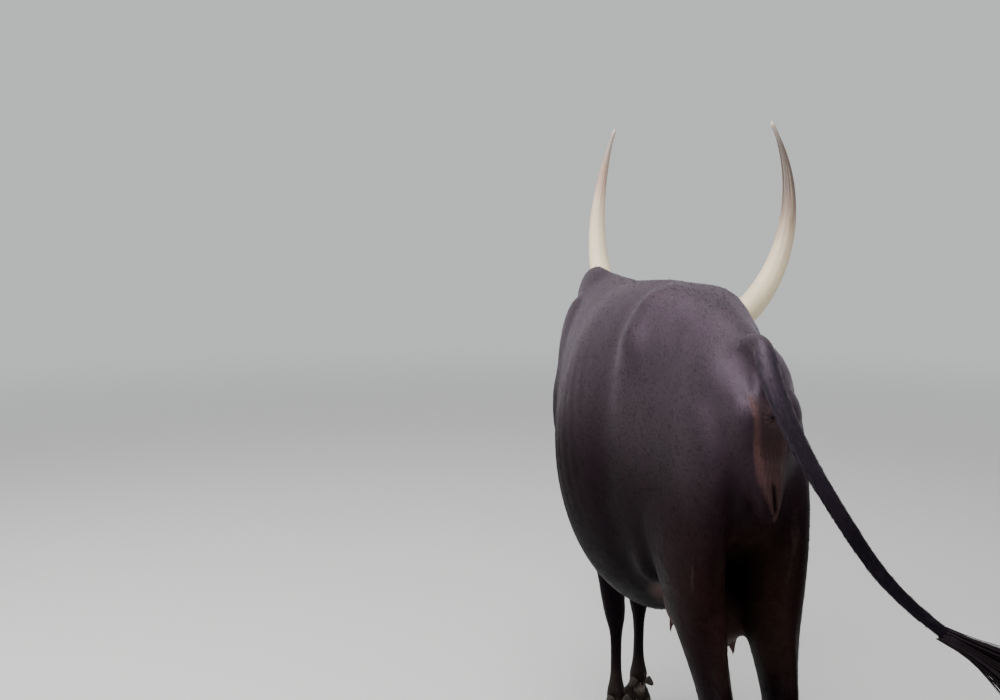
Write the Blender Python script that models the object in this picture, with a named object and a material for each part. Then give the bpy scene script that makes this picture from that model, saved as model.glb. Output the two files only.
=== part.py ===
"""A long-horned Ankole cow, life size, standing still.

It faces -Y with its left side at +X.  Its neck bends to its right, its head hangs low with the
horns upright, and its tail is swung out to its right.  Metres, +Z up, the soles at z = 0.
The body is lofted and joined as one form, then parted into its named pieces by thin cuts.
"""
import bpy
import bmesh
import math
import random
from mathutils import Matrix, Vector
from mathutils.geometry import interpolate_bezier

# Driving sizes of the body
GAP = 0.0003
HUMP_HEIGHT = 1.375
BACK_HEIGHT = 1.362
HOOK_HEIGHT = 1.305
PIN_HEIGHT = 1.185
HOOK_HALF_WIDTH = 0.143
PIN_HALF_WIDTH = 0.075
BARREL_HALF_WIDTH = 0.222
CHEST_DEPTH = 0.77
PIN_Y = 0.72
HOOK_Y = 0.275
WITHERS_Y = -0.50
BRISKET_Y = -0.80
CHEST_SHIFT = 0.034
HUMP_SHIFT = 0.056
HOOK_SHIFT = 0.016

# Head, horns, ears and eyes
POLL = Vector((-0.350, -1.095, 1.133))
HEAD_YAW = math.radians(38)
HEAD_PITCH = math.radians(62)
HEAD_LENGTH = 0.50
FOREHEAD_HALF_WIDTH = 0.098
MUZZLE_HALF_WIDTH = 0.064
EYE_RADIUS = 0.021
HORN_BASE_DIAMETER = 0.108
HORN_TIP_DIAMETER = 0.014
HORN_SPREAD = 0.43
HORN_RISE = 0.70
EAR_LENGTH = 0.21
EAR_HALF_WIDTH = 0.052
EAR_WALL = 0.005

# Feet
FORE_FOOT_CENTRE = Vector((-0.038, -0.485, 0.0))
FORE_FOOT_OUT = 0.048
FORE_STAGGER = 0.058
HIND_FOOT_CENTRE = Vector((-0.008, 0.565, 0.0))
HIND_FOOT_OUT = 0.072
FORE_DEWCLAW = 0.0408
HIND_DEWCLAW = 0.0550
CLAW_LENGTH = 0.108
CLAW_WIDTH = 0.044
CLAW_CLEFT = 0.005
CORONET_FRONT = 0.064
CORONET_BACK = 0.038

# Tail
TAIL_ROOT_RADIUS = 0.027
TAIL_END_RADIUS = 0.0115
SWITCH_LENGTH = 0.40
SWITCH_LOCKS = 13
SWITCH_LEVELLING = 0.24

# Fineness of the forms
TRUNK_RINGS = 50
TRUNK_SIDES = 36
LIMB_RINGS = 56
LIMB_SIDES = 20
NECK_RINGS = 26
NECK_SIDES = 28
SKULL_RINGS = 40
SKULL_SIDES = 32
BALL_STEPS = 3
HORN_RINGS = 22
TAIL_RINGS = 27
BODY_VOXEL = 0.011
HEAD_VOXEL = 0.0045
BODY_SMOOTHING = 9
TRUNK_SMOOTHING = 20
BODY_TRIANGLES = 5200
HEAD_TRIANGLES = 3000


# Materials
def material(name, colour, roughness):
    """A plain surface of one colour."""
    made = bpy.data.materials.new(name)
    made.use_nodes = True
    shader = made.node_tree.nodes["Principled BSDF"]
    shader.inputs["Base Color"].default_value = (*colour, 1.0)
    shader.inputs["Roughness"].default_value = roughness
    shader.inputs["Metallic"].default_value = 0.0
    return made


def named_object(name, mesh, surface):
    """A mesh placed in the scene under its own name."""
    made = bpy.data.objects.new(name, mesh)
    bpy.context.collection.objects.link(made)
    mesh.materials.clear()
    mesh.materials.append(surface)
    mesh.shade_smooth()
    return made


# Curves and sections
def blend(low, high, share):
    """A value between two others."""
    return low + (high - low) * share


def ease(value, low, high):
    """0 below low, 1 above high, and a smooth step between."""
    share = min(max((value - low) / (high - low), 0.0), 1.0)
    return share * share * (3.0 - 2.0 * share)


def through(stations, count):
    """Values on a smooth curve through equal-length rows of numbers."""
    rows = []
    last = len(stations) - 1
    for step in range(count):
        place = last * step / (count - 1)
        index = min(int(place), last - 1)
        share = place - index
        before = stations[max(index - 1, 0)]
        start, end = stations[index], stations[index + 1]
        after = stations[min(index + 2, last)]
        row = []
        for a, b, c, d in zip(before, start, end, after):
            bend = (2 * a - 5 * b + 4 * c - d) + (3 * b - a - 3 * c + d) * share
            row.append(b + 0.5 * share * ((c - a) + share * bend))
        rows.append(row)
    return rows


def oval(centre, side, up, half_side, half_up, half_down, power, sides, low_power=None):
    """A closed ring, squarer as its powers grow, with its own half heights above and below."""
    ring = []
    for step in range(sides):
        angle = 2.0 * math.pi * step / sides
        across = math.cos(angle)
        rise = math.sin(angle)
        bend = 2.0 / (low_power if low_power and rise < 0 else power)
        along_side = math.copysign(abs(across) ** bend, across) * half_side
        along_up = math.copysign(abs(rise) ** bend, rise)
        along_up *= half_up if rise > 0 else half_down
        ring.append(centre + side * along_side + up * along_up)
    return ring


def add_loft(bm, rings):
    """A closed skin over a row of rings."""
    layers = []
    for ring in rings:
        layers.append([bm.verts.new(point) for point in ring])
    count = len(layers[0])
    for lower, upper in zip(layers, layers[1:]):
        for step in range(count):
            after = (step + 1) % count
            bm.faces.new((lower[step], lower[after], upper[after], upper[step]))
    bm.faces.new(reversed(layers[0]))
    bm.faces.new(layers[-1])


def add_ball(bm, centre, semi_axes, turn=None):
    """An ellipsoid, with its axes turned by a matrix."""
    shape = Matrix.Translation(centre)
    if turn is not None:
        shape = shape @ turn.to_4x4()
    shape = shape @ Matrix.Diagonal((*semi_axes, 1.0))
    bmesh.ops.create_icosphere(bm, subdivisions=BALL_STEPS, radius=1.0, matrix=shape)


def add_limb(bm, stations, count=LIMB_RINGS, sides=LIMB_SIDES, across=Vector((1, 0, 0)), level=False):
    """A limb along stations of x, y, z, half side, half front and half back, square to it or level."""
    rows = through(stations, count)
    centres = [Vector(row[:3]) for row in rows]
    rings = []
    for index, row in enumerate(rows):
        ahead = centres[min(index + 1, count - 1)]
        behind = centres[max(index - 1, 0)]
        tangent = Vector((0, 0, -1)) if level else (ahead - behind).normalized()
        side = (across - tangent * across.dot(tangent)).normalized()
        front = tangent.cross(side)
        if front.y > 0:
            front = -front
        rings.append(oval(centres[index], side, front, row[3], row[4], row[5], 2.0, sides))
    add_loft(bm, rings)


# Meshes
def mesh_of(bm, name):
    """A mesh from a worked form, its faces turned outwards."""
    bmesh.ops.recalc_face_normals(bm, faces=bm.faces)
    mesh = bpy.data.meshes.new(name)
    bm.to_mesh(mesh)
    bm.free()
    return mesh


def apply_modifiers(target):
    """The object keeps what its modifiers make."""
    graph = bpy.context.evaluated_depsgraph_get()
    mesh = bpy.data.meshes.new_from_object(target.evaluated_get(graph))
    target.modifiers.clear()
    target.data = mesh


def scratch_object(bm, name):
    """A working object that doesn't stay in the model."""
    made = bpy.data.objects.new(name, mesh_of(bm, name))
    bpy.context.collection.objects.link(made)
    return made


def trunk_share(place):
    """1 on the trunk, fading to 0 on the legs and the head."""
    return ease(place.z, 0.50, 0.70) * ease(place.y, -0.95, -0.75) * (1.0 - ease(place.y, 0.75, 0.80))


def joined_form(bm, name, voxel, smoothing, trunk_smoothing=0):
    """One closed skin round overlapping pieces, smoothed all over and then again on the trunk."""
    made = scratch_object(bm, name)
    remesh = made.modifiers.new("Join", "REMESH")
    remesh.mode = "VOXEL"
    remesh.voxel_size = voxel
    relax = made.modifiers.new("Relax", "SMOOTH")
    relax.factor = 0.5
    relax.iterations = smoothing
    apply_modifiers(made)
    if trunk_smoothing:
        group = made.vertex_groups.new(name="trunk")
        for vert in made.data.vertices:
            share = trunk_share(vert.co)
            if share > 0.0:
                group.add([vert.index], share, "REPLACE")
        flow = made.modifiers.new("Flow", "SMOOTH")
        flow.factor = 0.5
        flow.iterations = trunk_smoothing
        flow.vertex_group = "trunk"
        apply_modifiers(made)
    return made


def thinned(made, triangles):
    """The form brought down to a number of triangles."""
    thin = made.modifiers.new("Thin", "DECIMATE")
    thin.ratio = triangles / (2.0 * len(made.data.polygons))
    apply_modifiers(made)
    return made


def discard(item):
    """Take a working object out of the model."""
    bpy.data.objects.remove(item)


def combine(target, tool, operation):
    """Cut or meet the target with a tool, and remove the tool."""
    step = target.modifiers.new("Cut", "BOOLEAN")
    step.operation = operation
    step.solver = "EXACT"
    step.object = tool
    apply_modifiers(target)
    discard(tool)


def keep_largest(target):
    """Drop every loose scrap and keep the largest closed surface."""
    bm = bmesh.new()
    bm.from_mesh(target.data)
    bmesh.ops.remove_doubles(bm, verts=bm.verts, dist=1e-5)
    bmesh.ops.dissolve_degenerate(bm, edges=bm.edges, dist=1e-5)
    unseen = set(bm.verts)
    islands = []
    while unseen:
        start = unseen.pop()
        island = {start}
        front = [start]
        while front:
            for edge in front.pop().link_edges:
                for vert in edge.verts:
                    if vert in unseen:
                        unseen.discard(vert)
                        island.add(vert)
                        front.append(vert)
        islands.append(island)
    islands.sort(key=lambda island: -len(island))
    scraps = [vert for island in islands[1:] for vert in island]
    bmesh.ops.delete(bm, geom=scraps, context="VERTS")
    bmesh.ops.triangulate(bm, faces=bm.faces)
    mesh = mesh_of(bm, target.name)
    target.data = mesh


def copy_of(source, name):
    """A second working object with its own mesh."""
    made = bpy.data.objects.new(name, source.data.copy())
    bpy.context.collection.objects.link(made)
    return made


def block(low, high, grow=0.0, slope=0.0):
    """A box whose top may slope up towards +Y by a number of metres per metre."""
    bm = bmesh.new()
    rings = []
    middle = (low.y + high.y) / 2
    for y in (low.y - grow, high.y + grow):
        top = high.z + grow + slope * (y - middle)
        corners = ((low.x - grow, low.z - grow), (high.x + grow, low.z - grow),
                   (high.x + grow, top), (low.x - grow, top))
        rings.append([Vector((x, y, z)) for x, z in corners])
    add_loft(bm, rings)
    return scratch_object(bm, "block")


def half_space(point, normal, reach=3.0):
    """A large block on the side of a plane that its normal points to."""
    bm = bmesh.new()
    place = Matrix.Translation(point) @ normal.to_track_quat("Z", "X").to_matrix().to_4x4()
    place = place @ Matrix.Translation((0, 0, reach / 2))
    bmesh.ops.create_cube(bm, size=reach, matrix=place)
    return scratch_object(bm, "half_space")


def seat_cutter(point, normal, radius, reach=0.12):
    """A round tool that leaves a flat seat at a point, facing along the normal."""
    bm = bmesh.new()
    place = Matrix.Translation(point) @ normal.to_track_quat("Z", "X").to_matrix().to_4x4()
    place = place @ Matrix.Translation((0, 0, reach / 2))
    bmesh.ops.create_cone(bm, cap_ends=True, segments=24, radius1=radius, radius2=radius,
                          depth=reach, matrix=place)
    return scratch_object(bm, "seat")


# The trunk
def add_trunk(bm):
    """The barrel, chest and rump, lofted from the pins to the brisket."""
    belly = HUMP_HEIGHT - 0.055 - CHEST_DEPTH
    wide = BARREL_HALF_WIDTH
    back = BACK_HEIGHT
    hooks = HOOK_HALF_WIDTH
    stations = (
        (PIN_Y - 0.005, 0.000, PIN_HEIGHT + 0.010, 1.02, 0.045, 1.8),
        (PIN_Y - 0.060, 0.000, PIN_HEIGHT + 0.072, 0.93, 0.080, 1.6),
        (0.550, 0.002, back - 0.066, 0.86, 0.118, 1.7),
        (0.430, 0.006, back - 0.026, 0.79, 0.141, 1.9),
        (HOOK_Y + 0.060, 0.012, back - 0.006, 0.715, hooks + 0.012, 2.6),
        (HOOK_Y, HOOK_SHIFT, back, belly + 0.118, hooks + 0.020, 3.3),
        (HOOK_Y - 0.065, 0.020, back + 0.001, belly + 0.072, hooks + 0.026, 2.35),
        (0.120, 0.024, back + 0.002, belly + 0.022, wide - 0.022, 2.1),
        (-0.020, 0.032, back - 0.006, belly, wide, 2.05),
        (-0.170, CHEST_SHIFT, back - 0.014, belly + 0.028, wide - 0.018, 1.95),
        (-0.330, CHEST_SHIFT + 0.001, back - 0.010, belly + 0.088, wide - 0.050, 1.85),
        (-0.480, CHEST_SHIFT + 0.002, back - 0.010, belly + 0.105, wide - 0.079, 1.75),
        (-0.620, CHEST_SHIFT, back - 0.070, belly + 0.130, wide - 0.096, 1.85),
        (-0.740, CHEST_SHIFT - 0.006, back - 0.170, belly + 0.170, 0.092, 2.0),
        (BRISKET_Y, CHEST_SHIFT - 0.012, back - 0.290, belly + 0.260, 0.045, 2.0),
    )
    rings = []
    for y, shift, top, bottom, half_width, roof in through(stations, TRUNK_RINGS):
        level = blend(bottom, top, 0.47)
        centre = Vector((shift, y, level))
        rings.append(oval(centre, Vector((1, 0, 0)), Vector((0, 0, 1)), half_width,
                          top - level, level - bottom, roof, TRUNK_SIDES, 1.85))
    add_loft(bm, rings)


def add_trunk_forms(bm):
    """Hump, hooks, pins, shoulder blades, brisket, flanks and the forms under the tail."""
    shift = CHEST_SHIFT
    add_ball(bm, Vector((HUMP_SHIFT, WITHERS_Y - 0.01, HUMP_HEIGHT - 0.13)), (0.050, 0.21, 0.13))
    for side in (1, -1):
        hook = Vector((HOOK_SHIFT + side * (HOOK_HALF_WIDTH - 0.045), HOOK_Y + 0.004, HOOK_HEIGHT - 0.085))
        add_ball(bm, hook, (0.062, 0.085, 0.078))
        add_ball(bm, Vector((side * 0.046, HOOK_Y + 0.16, HOOK_HEIGHT - 0.13)), (0.062, 0.23, 0.10))
        pin = Vector((side * (PIN_HALF_WIDTH - 0.040), PIN_Y - 0.070, PIN_HEIGHT - 0.044))
        add_ball(bm, pin, (0.041, 0.090, 0.066))
        blade_turn = Matrix.Rotation(math.radians(-22), 3, "X")
        blade = Vector((shift + side * 0.080, WITHERS_Y - 0.03, 1.09))
        add_ball(bm, blade, (0.052, 0.120, 0.21), blade_turn)
        add_ball(bm, Vector((shift + side * 0.080, -0.64, 0.95)), (0.050, 0.10, 0.13))
        add_ball(bm, Vector((side * 0.110, HOOK_Y - 0.085, 0.80)), (0.030, 0.12, 0.085))
        add_ball(bm, Vector((side * 0.013, PIN_Y - 0.006, 1.02)), (0.018, 0.026, 0.085))
    add_ball(bm, Vector((0, PIN_Y - 0.014, 1.145)), (0.028, 0.03, 0.032))


def add_dewlap(bm):
    """The loose fold of skin from the throat down to the brisket."""
    rows = (
        (-0.262, -1.010, 1.000, 0.020, 0.030, 0.040), (-0.200, -0.965, 0.935, 0.024, 0.040, 0.080),
        (-0.120, -0.905, 0.880, 0.030, 0.050, 0.100), (-0.040, -0.840, 0.835, 0.038, 0.060, 0.100),
        (0.015, -0.770, 0.800, 0.048, 0.065, 0.090), (CHEST_SHIFT, -0.680, 0.780, 0.058, 0.070, 0.085),
        (CHEST_SHIFT, -0.580, 0.770, 0.060, 0.060, 0.070),
    )
    add_limb(bm, rows, across=Vector((0.85, -0.52, 0)))


def add_udder(bm):
    """A small udder high between the thighs, with four teats."""
    add_ball(bm, Vector((0.0, 0.37, 0.685)), (0.088, 0.14, 0.086))
    for side in (1, -1):
        for y in (0.285, 0.42):
            top = (side * 0.044, y, 0.66, 0.018, 0.018, 0.018)
            low = (side * 0.048, y - 0.004, 0.600, 0.012, 0.012, 0.012)
            tip = (side * 0.049, y - 0.005, 0.568, 0.008, 0.008, 0.008)
            add_limb(bm, (top, low, tip), 8)


# The legs
def fore_place(side, out, y, z):
    """A point of a front leg, which leans in from the chest to its foot."""
    height = ease(z, 0.30, 0.95)
    stance = blend(FORE_FOOT_CENTRE.x, CHEST_SHIFT, height)
    stagger = FORE_STAGGER * side * (1.0 - height)
    return (stance + side * out, y + stagger, z)


def add_fore_leg(bm, side):
    """A front leg from the shoulder to the coronet."""
    foot = FORE_FOOT_CENTRE.y
    out = FORE_FOOT_OUT
    rows = (
        (0.058, -0.49, 1.22, 0.022, 0.06, 0.06), (0.072, -0.50, 1.13, 0.042, 0.10, 0.10),
        (0.086, -0.55, 1.02, 0.052, 0.14, 0.15),
        (0.088, -0.55, 0.90, 0.055, 0.14, 0.17), (0.081, -0.51, 0.80, 0.053, 0.11, 0.125),
        (0.072, -0.495, 0.70, 0.048, 0.074, 0.078), (0.064, -0.487, 0.58, 0.043, 0.052, 0.054),
        (0.056, -0.483, 0.48, 0.037, 0.038, 0.038), (0.051, -0.486, 0.415, 0.038, 0.040, 0.037),
        (0.050, -0.482, 0.355, 0.033, 0.033, 0.033), (0.049, -0.478, 0.29, 0.0210, 0.022, 0.025),
        (0.048, foot + 0.012, 0.18, 0.0200, 0.022, 0.026), (out, foot + 0.016, 0.125, 0.030, 0.031, 0.036),
        (out, foot + 0.002, 0.088, 0.027, 0.028, 0.032), (out, foot - 0.012, 0.055, 0.042, 0.044, 0.046),
        (out, foot - 0.020, 0.028, 0.043, 0.046, 0.048),
    )
    stations = []
    for row in rows:
        stations.append((*fore_place(side, *row[:3]), *row[3:]))
    add_limb(bm, stations, level=True)


def hind_place(side, out, z):
    """How far to the left a point of a back leg lies."""
    return HIND_FOOT_CENTRE.x * (1.0 - ease(z, 0.5, 0.9)) + side * out


def add_hind_leg(bm, side):
    """A back leg from the hip to the coronet, with its hock."""
    foot = HIND_FOOT_CENTRE.y
    out = HIND_FOOT_OUT
    rows = (
        (0.062, 0.46, 1.22, 0.026, 0.07, 0.08), (0.072, 0.47, 1.14, 0.050, 0.14, 0.17),
        (0.076, 0.46, 1.00, 0.049, 0.20, 0.238), (0.080, 0.46, 0.89, 0.057, 0.21, 0.224),
        (0.079, 0.485, 0.80, 0.056, 0.195, 0.180), (0.074, 0.53, 0.72, 0.048, 0.150, 0.124),
        (0.068, 0.582, 0.645, 0.039, 0.100, 0.080), (0.063, 0.622, 0.58, 0.033, 0.064, 0.064),
        (0.061, 0.640, 0.525, 0.032, 0.047, 0.048), (0.062, 0.634, 0.46, 0.0275, 0.034, 0.037),
        (0.066, 0.618, 0.35, 0.0200, 0.024, 0.028), (0.070, foot + 0.04, 0.19, 0.0210, 0.025, 0.029),
        (out, foot + 0.034, 0.128, 0.031, 0.032, 0.036), (out, foot + 0.014, 0.09, 0.027, 0.028, 0.032),
        (out, foot - 0.006, 0.055, 0.042, 0.044, 0.046), (out, foot - 0.014, 0.028, 0.043, 0.046, 0.048),
    )
    stations = []
    for row in rows:
        stations.append((hind_place(side, row[0], row[2]), *row[1:]))
    add_limb(bm, stations, level=True)
    rows = (
        (0.061, 0.655, 0.49, 0.019, 0.020, 0.020), (0.060, 0.686, 0.572, 0.018, 0.022, 0.022),
        (0.066, 0.674, 0.65, 0.015, 0.021, 0.021), (0.066, 0.64, 0.74, 0.022, 0.028, 0.028),
        (0.068, 0.60, 0.84, 0.020, 0.028, 0.028), (0.066, 0.57, 0.92, 0.010, 0.012, 0.012),
    )
    tendon = []
    for row in rows:
        tendon.append((hind_place(side, row[0], row[2]), *row[1:]))
    add_limb(bm, tendon)
    add_ball(bm, Vector((side * 0.098, 0.275, 0.80)), (0.044, 0.085, 0.10))


# The neck and head
HEAD_OUT = Vector((-math.sin(HEAD_YAW), -math.cos(HEAD_YAW), 0.0))
HEAD_LEFT = Vector((math.cos(HEAD_YAW), -math.sin(HEAD_YAW), 0.0))
HEAD_FORWARD = HEAD_OUT * math.cos(HEAD_PITCH) - Vector((0, 0, math.sin(HEAD_PITCH)))
HEAD_UP = HEAD_OUT * math.sin(HEAD_PITCH) + Vector((0, 0, math.cos(HEAD_PITCH)))
HEAD_TURN = Matrix((HEAD_LEFT, HEAD_FORWARD, HEAD_UP)).transposed()


def head_point(left, forward, up):
    """A point given by its place on the head, from the middle of the poll."""
    return POLL + HEAD_LEFT * left + HEAD_FORWARD * forward + HEAD_UP * up


def add_neck(bm, start=0.0):
    """The neck, bent to the right, and the thin fold under it, from a share of its length on."""
    stations = (
        (CHEST_SHIFT, -0.50, 1.03, 0.115, 0.28, 0.26), (0.028, -0.66, 1.045, 0.105, 0.245, 0.245),
        (-0.030, -0.79, 1.05, 0.092, 0.195, 0.195), (-0.125, -0.895, 1.05, 0.080, 0.155, 0.155),
        (-0.220, -0.975, 1.045, 0.076, 0.130, 0.130), (-0.292, -1.035, 1.04, 0.073, 0.112, 0.115),
    )
    rows = through(stations, NECK_RINGS)
    last = NECK_RINGS - 1
    rings = []
    fold = []
    for index, row in enumerate(rows):
        ahead = Vector(rows[min(index + 1, last)][:3])
        behind = Vector(rows[max(index - 1, 0)][:3])
        tangent = (ahead - behind).normalized()
        side = tangent.cross(Vector((0, 0, 1))).normalized()
        up = side.cross(tangent)
        centre = Vector(row[:3])
        rings.append(oval(centre, side, up, row[3], row[4], row[5], 2.1, NECK_SIDES))
        hang = 0.05 * math.sin(math.pi * min(1.0, 0.12 + index / last)) ** 0.6
        low = centre - up * (row[5] - 0.03)
        fold.append(oval(low, side, up, 0.022, 0.05, 0.04 + hang, 2.0, LIMB_SIDES, 1.6))
    first = int(last * start)
    add_loft(bm, rings[first:])
    add_loft(bm, fold[max(first, int(last * 0.08)):])


def add_skull(bm):
    """The skull and muzzle, lofted from the poll to the nose, with cheeks and brows."""
    wide = FOREHEAD_HALF_WIDTH
    nose = MUZZLE_HALF_WIDTH
    stations = (
        (-0.025, wide * 0.62, -0.030, -0.120, 2.2), (0.015, wide * 0.90, 0.000, -0.170, 2.6),
        (0.075, wide, 0.005, -0.205, 2.8), (0.145, wide * 0.97, 0.001, -0.222, 2.8),
        (0.215, wide * 0.79, -0.006, -0.204, 2.5), (0.290, nose * 1.02, -0.011, -0.174, 2.3),
        (0.365, nose * 0.92, -0.013, -0.146, 2.3), (0.420, nose * 0.99, -0.013, -0.130, 2.4),
        (0.460, nose * 1.12, -0.017, -0.118, 2.6), (HEAD_LENGTH - 0.016, nose * 1.04, -0.029, -0.106, 2.6),
        (HEAD_LENGTH, nose * 0.74, -0.045, -0.092, 2.4),
    )
    rings = []
    for forward, half_width, top, bottom, power in through(stations, SKULL_RINGS):
        level = blend(bottom, top, 0.56)
        centre = head_point(0, forward, level)
        rings.append(oval(centre, HEAD_LEFT, HEAD_UP, half_width, top - level, level - bottom,
                          power, SKULL_SIDES, 1.9))
    add_loft(bm, rings)
    add_ball(bm, head_point(0, 0.446, -0.108), (0.036, 0.040, 0.018), HEAD_TURN)
    add_ball(bm, head_point(0, -0.005, -0.004), (0.075, 0.035, 0.022), HEAD_TURN)
    for side in (1, -1):
        add_ball(bm, head_point(side * 0.064, 0.125, -0.135), (0.027, 0.085, 0.075), HEAD_TURN)
        add_ball(bm, head_point(side * 0.066, 0.132, -0.019), (0.034, 0.060, 0.016), HEAD_TURN)
        add_ball(bm, head_point(side * 0.055, 0.245, -0.080), (0.017, 0.090, 0.016), HEAD_TURN)
        add_ball(bm, head_point(side * 0.036, 0.466, -0.047), (0.026, 0.026, 0.022), HEAD_TURN)
        boss = []
        for along, radius in ((0.045, 0.050), (0.070, 0.052), (0.100, 0.050)):
            centre = head_point(side * along, 0.004, -0.032)
            boss.append(oval(centre, HEAD_FORWARD, HEAD_UP, radius, radius, radius, 2.0, LIMB_SIDES))
        add_loft(bm, boss)
        root = []
        for along, radius in ((0.050, 0.034), (0.080, 0.034), (0.112, 0.026)):
            centre = head_point(side * along, 0.045, -0.098)
            root.append(oval(centre, HEAD_FORWARD, HEAD_UP, radius, radius, radius, 2.0, LIMB_SIDES))
        add_loft(bm, root)


def eye_centre(side):
    """The middle of an eyeball, sunk in the side of the head."""
    return head_point(side * 0.0885, 0.152, -0.052)


def eye_axis(side):
    """The direction an eye looks in."""
    return (HEAD_LEFT * side * 0.93 + HEAD_FORWARD * 0.30 + HEAD_UP * 0.16).normalized()


def lid_loop(side, grow, rise):
    """Points round the almond-shaped opening of an eye, a little proud of the ball."""
    axis = eye_axis(side)
    along = (HEAD_FORWARD - axis * HEAD_FORWARD.dot(axis)).normalized()
    over = axis.cross(along)
    if over.dot(HEAD_UP) < 0:
        over = -over
    points = []
    for step in range(20):
        angle = 2.0 * math.pi * step / 20
        reach = along * math.cos(angle) * 0.0225 * grow
        reach = reach + over * math.sin(angle) * 0.0155 * grow
        depth = math.sqrt(max((EYE_RADIUS * rise) ** 2 - reach.length_squared, 0.0))
        points.append(eye_centre(side) + reach + axis * depth)
    return points


def add_lids(bm, side):
    """The rim of both lids, a closed ring round the eye."""
    loop = lid_loop(side, 1.12, 1.22)
    axis = eye_axis(side)
    count = len(loop)
    layers = []
    for index, point in enumerate(loop):
        tangent = (loop[(index + 1) % count] - loop[index - 1]).normalized()
        outward = tangent.cross(axis).normalized()
        ring = oval(point, outward, axis, 0.0060, 0.0045, 0.014, 2.0, 8)
        layers.append([bm.verts.new(corner) for corner in ring])
    for index, layer in enumerate(layers):
        after = layers[(index + 1) % count]
        for step in range(8):
            next_step = (step + 1) % 8
            bm.faces.new((layer[step], layer[next_step], after[next_step], after[step]))


def mouth_cutter():
    """A thin blade round the muzzle, which cuts the line of the mouth."""
    path = []
    for step in range(25):
        turn = math.pi * (step / 24 - 0.5)
        left = math.sin(turn)
        forward = math.cos(turn)
        corner = abs(left) ** 1.5
        path.append((left * 0.062, blend(0.392, HEAD_LENGTH - 0.006, forward ** 0.55),
                     blend(-0.083, -0.079, corner)))
    bm = bmesh.new()
    rings = []
    middle = head_point(0, 0.40, -0.08)
    for left, forward, up in path:
        centre = head_point(left, forward, up)
        outward = (centre - middle).normalized()
        rings.append(oval(centre + outward * 0.012, outward, HEAD_UP, 0.020, 0.0018, 0.0018, 8.0, 8))
    add_loft(bm, rings)
    return scratch_object(bm, "mouth")


def nostril_cutter(side):
    """A slanting hollow for one nostril."""
    bm = bmesh.new()
    turn = HEAD_TURN @ Matrix.Rotation(side * math.radians(-35), 3, "Y")
    bmesh.ops.create_icosphere(bm, subdivisions=2, radius=1.0, matrix=Matrix.Translation(
        head_point(side * 0.040, HEAD_LENGTH - 0.006, -0.046)) @ turn.to_4x4()
        @ Matrix.Diagonal((0.014, 0.020, 0.0085, 1.0)))
    return scratch_object(bm, "nostril")


# Horns, ears, eyes, claws and tail
def horn_seat(side):
    """The middle of the flat face on the head where a horn begins."""
    return head_point(side * 0.101, 0.004, -0.032)


def horn_path(side, count):
    """The centre line of a horn: out from the head, then up in a lyre."""
    start = horn_seat(side)
    outward = HEAD_LEFT * side
    upward = Vector((0, 0, 1))
    first = start + outward * 0.235 + upward * 0.045
    second = POLL + outward * HORN_SPREAD + upward * 0.395 + HEAD_OUT * 0.15
    tip = POLL + outward * 0.288 + upward * HORN_RISE + HEAD_OUT * 0.08
    return interpolate_bezier(start + outward * GAP, first, second, tip, count)


def make_horn(name, side, surface):
    """One tapering horn with a rounded tip."""
    points = horn_path(side, HORN_RINGS)
    lengths = [0.0]
    for before, after in zip(points, points[1:]):
        lengths.append(lengths[-1] + (after - before).length)
    rings = []
    for index, point in enumerate(points):
        ahead = points[min(index + 1, HORN_RINGS - 1)]
        behind = points[max(index - 1, 0)]
        tangent = (ahead - behind).normalized()
        if index == 0:
            tangent = HEAD_LEFT * side
        across = tangent.cross(HEAD_OUT).normalized()
        over = across.cross(tangent)
        share = 1.0 - lengths[index] / lengths[-1]
        radius = max(HORN_BASE_DIAMETER * share ** 0.75, HORN_TIP_DIAMETER) / 2
        if index == HORN_RINGS - 1:
            radius = HORN_TIP_DIAMETER * 0.22
        rings.append(oval(point, across, over, radius, radius, radius, 2.0, 12))
    bm = bmesh.new()
    add_loft(bm, rings)
    return named_object(name, mesh_of(bm, name), surface)


def ear_seat(side):
    """Where an ear meets the head, and the direction it grows in."""
    axis = (HEAD_LEFT * side * 0.90 - HEAD_FORWARD * 0.22 - HEAD_UP * 0.34).normalized()
    return head_point(side * 0.103, 0.045, -0.098), axis


def make_ear(name, side, surface):
    """One leaf-shaped ear, a hollow cup that opens forwards and down."""
    seat, axis = ear_seat(side)
    facing = HEAD_UP * 0.85 + HEAD_FORWARD * 0.45
    opening = (facing - axis * facing.dot(axis)).normalized()
    across = axis.cross(opening)
    half = 7
    rings = []
    for step in range(12):
        share = step / 11
        along = EAR_LENGTH * share
        spread = math.sin(math.pi * min(share * 0.86 + 0.13, 1.0)) ** 0.8
        half_width = EAR_HALF_WIDTH * max(spread, 0.06)
        depth = half_width * blend(0.85, 0.42, share)
        hollow = ease(share, 0.03, 0.30)
        droop = -0.03 * share * share
        centre = seat + axis * (along + GAP) + Vector((0, 0, droop))
        outer = []
        inner = []
        for place in range(half):
            turn = math.pi * place / (half - 1)
            left = math.cos(turn)
            back = math.sin(turn)
            outer.append(centre + across * half_width * left - opening * depth * back)
            wall = min(EAR_WALL, half_width * 0.45)
            cup = depth * back - wall
            flat = -depth * 0.35 * back
            reach = blend(flat, max(cup, 0.0), hollow)
            inner.append(centre + across * (half_width - wall * hollow * 0.8) * left - opening * reach)
        rings.append(outer + inner[-2:0:-1])
    bm = bmesh.new()
    add_loft(bm, rings)
    return named_object(name, mesh_of(bm, name), surface)


def eyeball(side, radius):
    """A ball at an eye's place, its poles along the direction of sight."""
    bm = bmesh.new()
    turn = eye_axis(side).to_track_quat("Z", "X").to_matrix().to_4x4()
    place = Matrix.Translation(eye_centre(side)) @ turn
    bmesh.ops.create_uvsphere(bm, u_segments=14, v_segments=9, radius=radius, matrix=place)
    return bm


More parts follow.
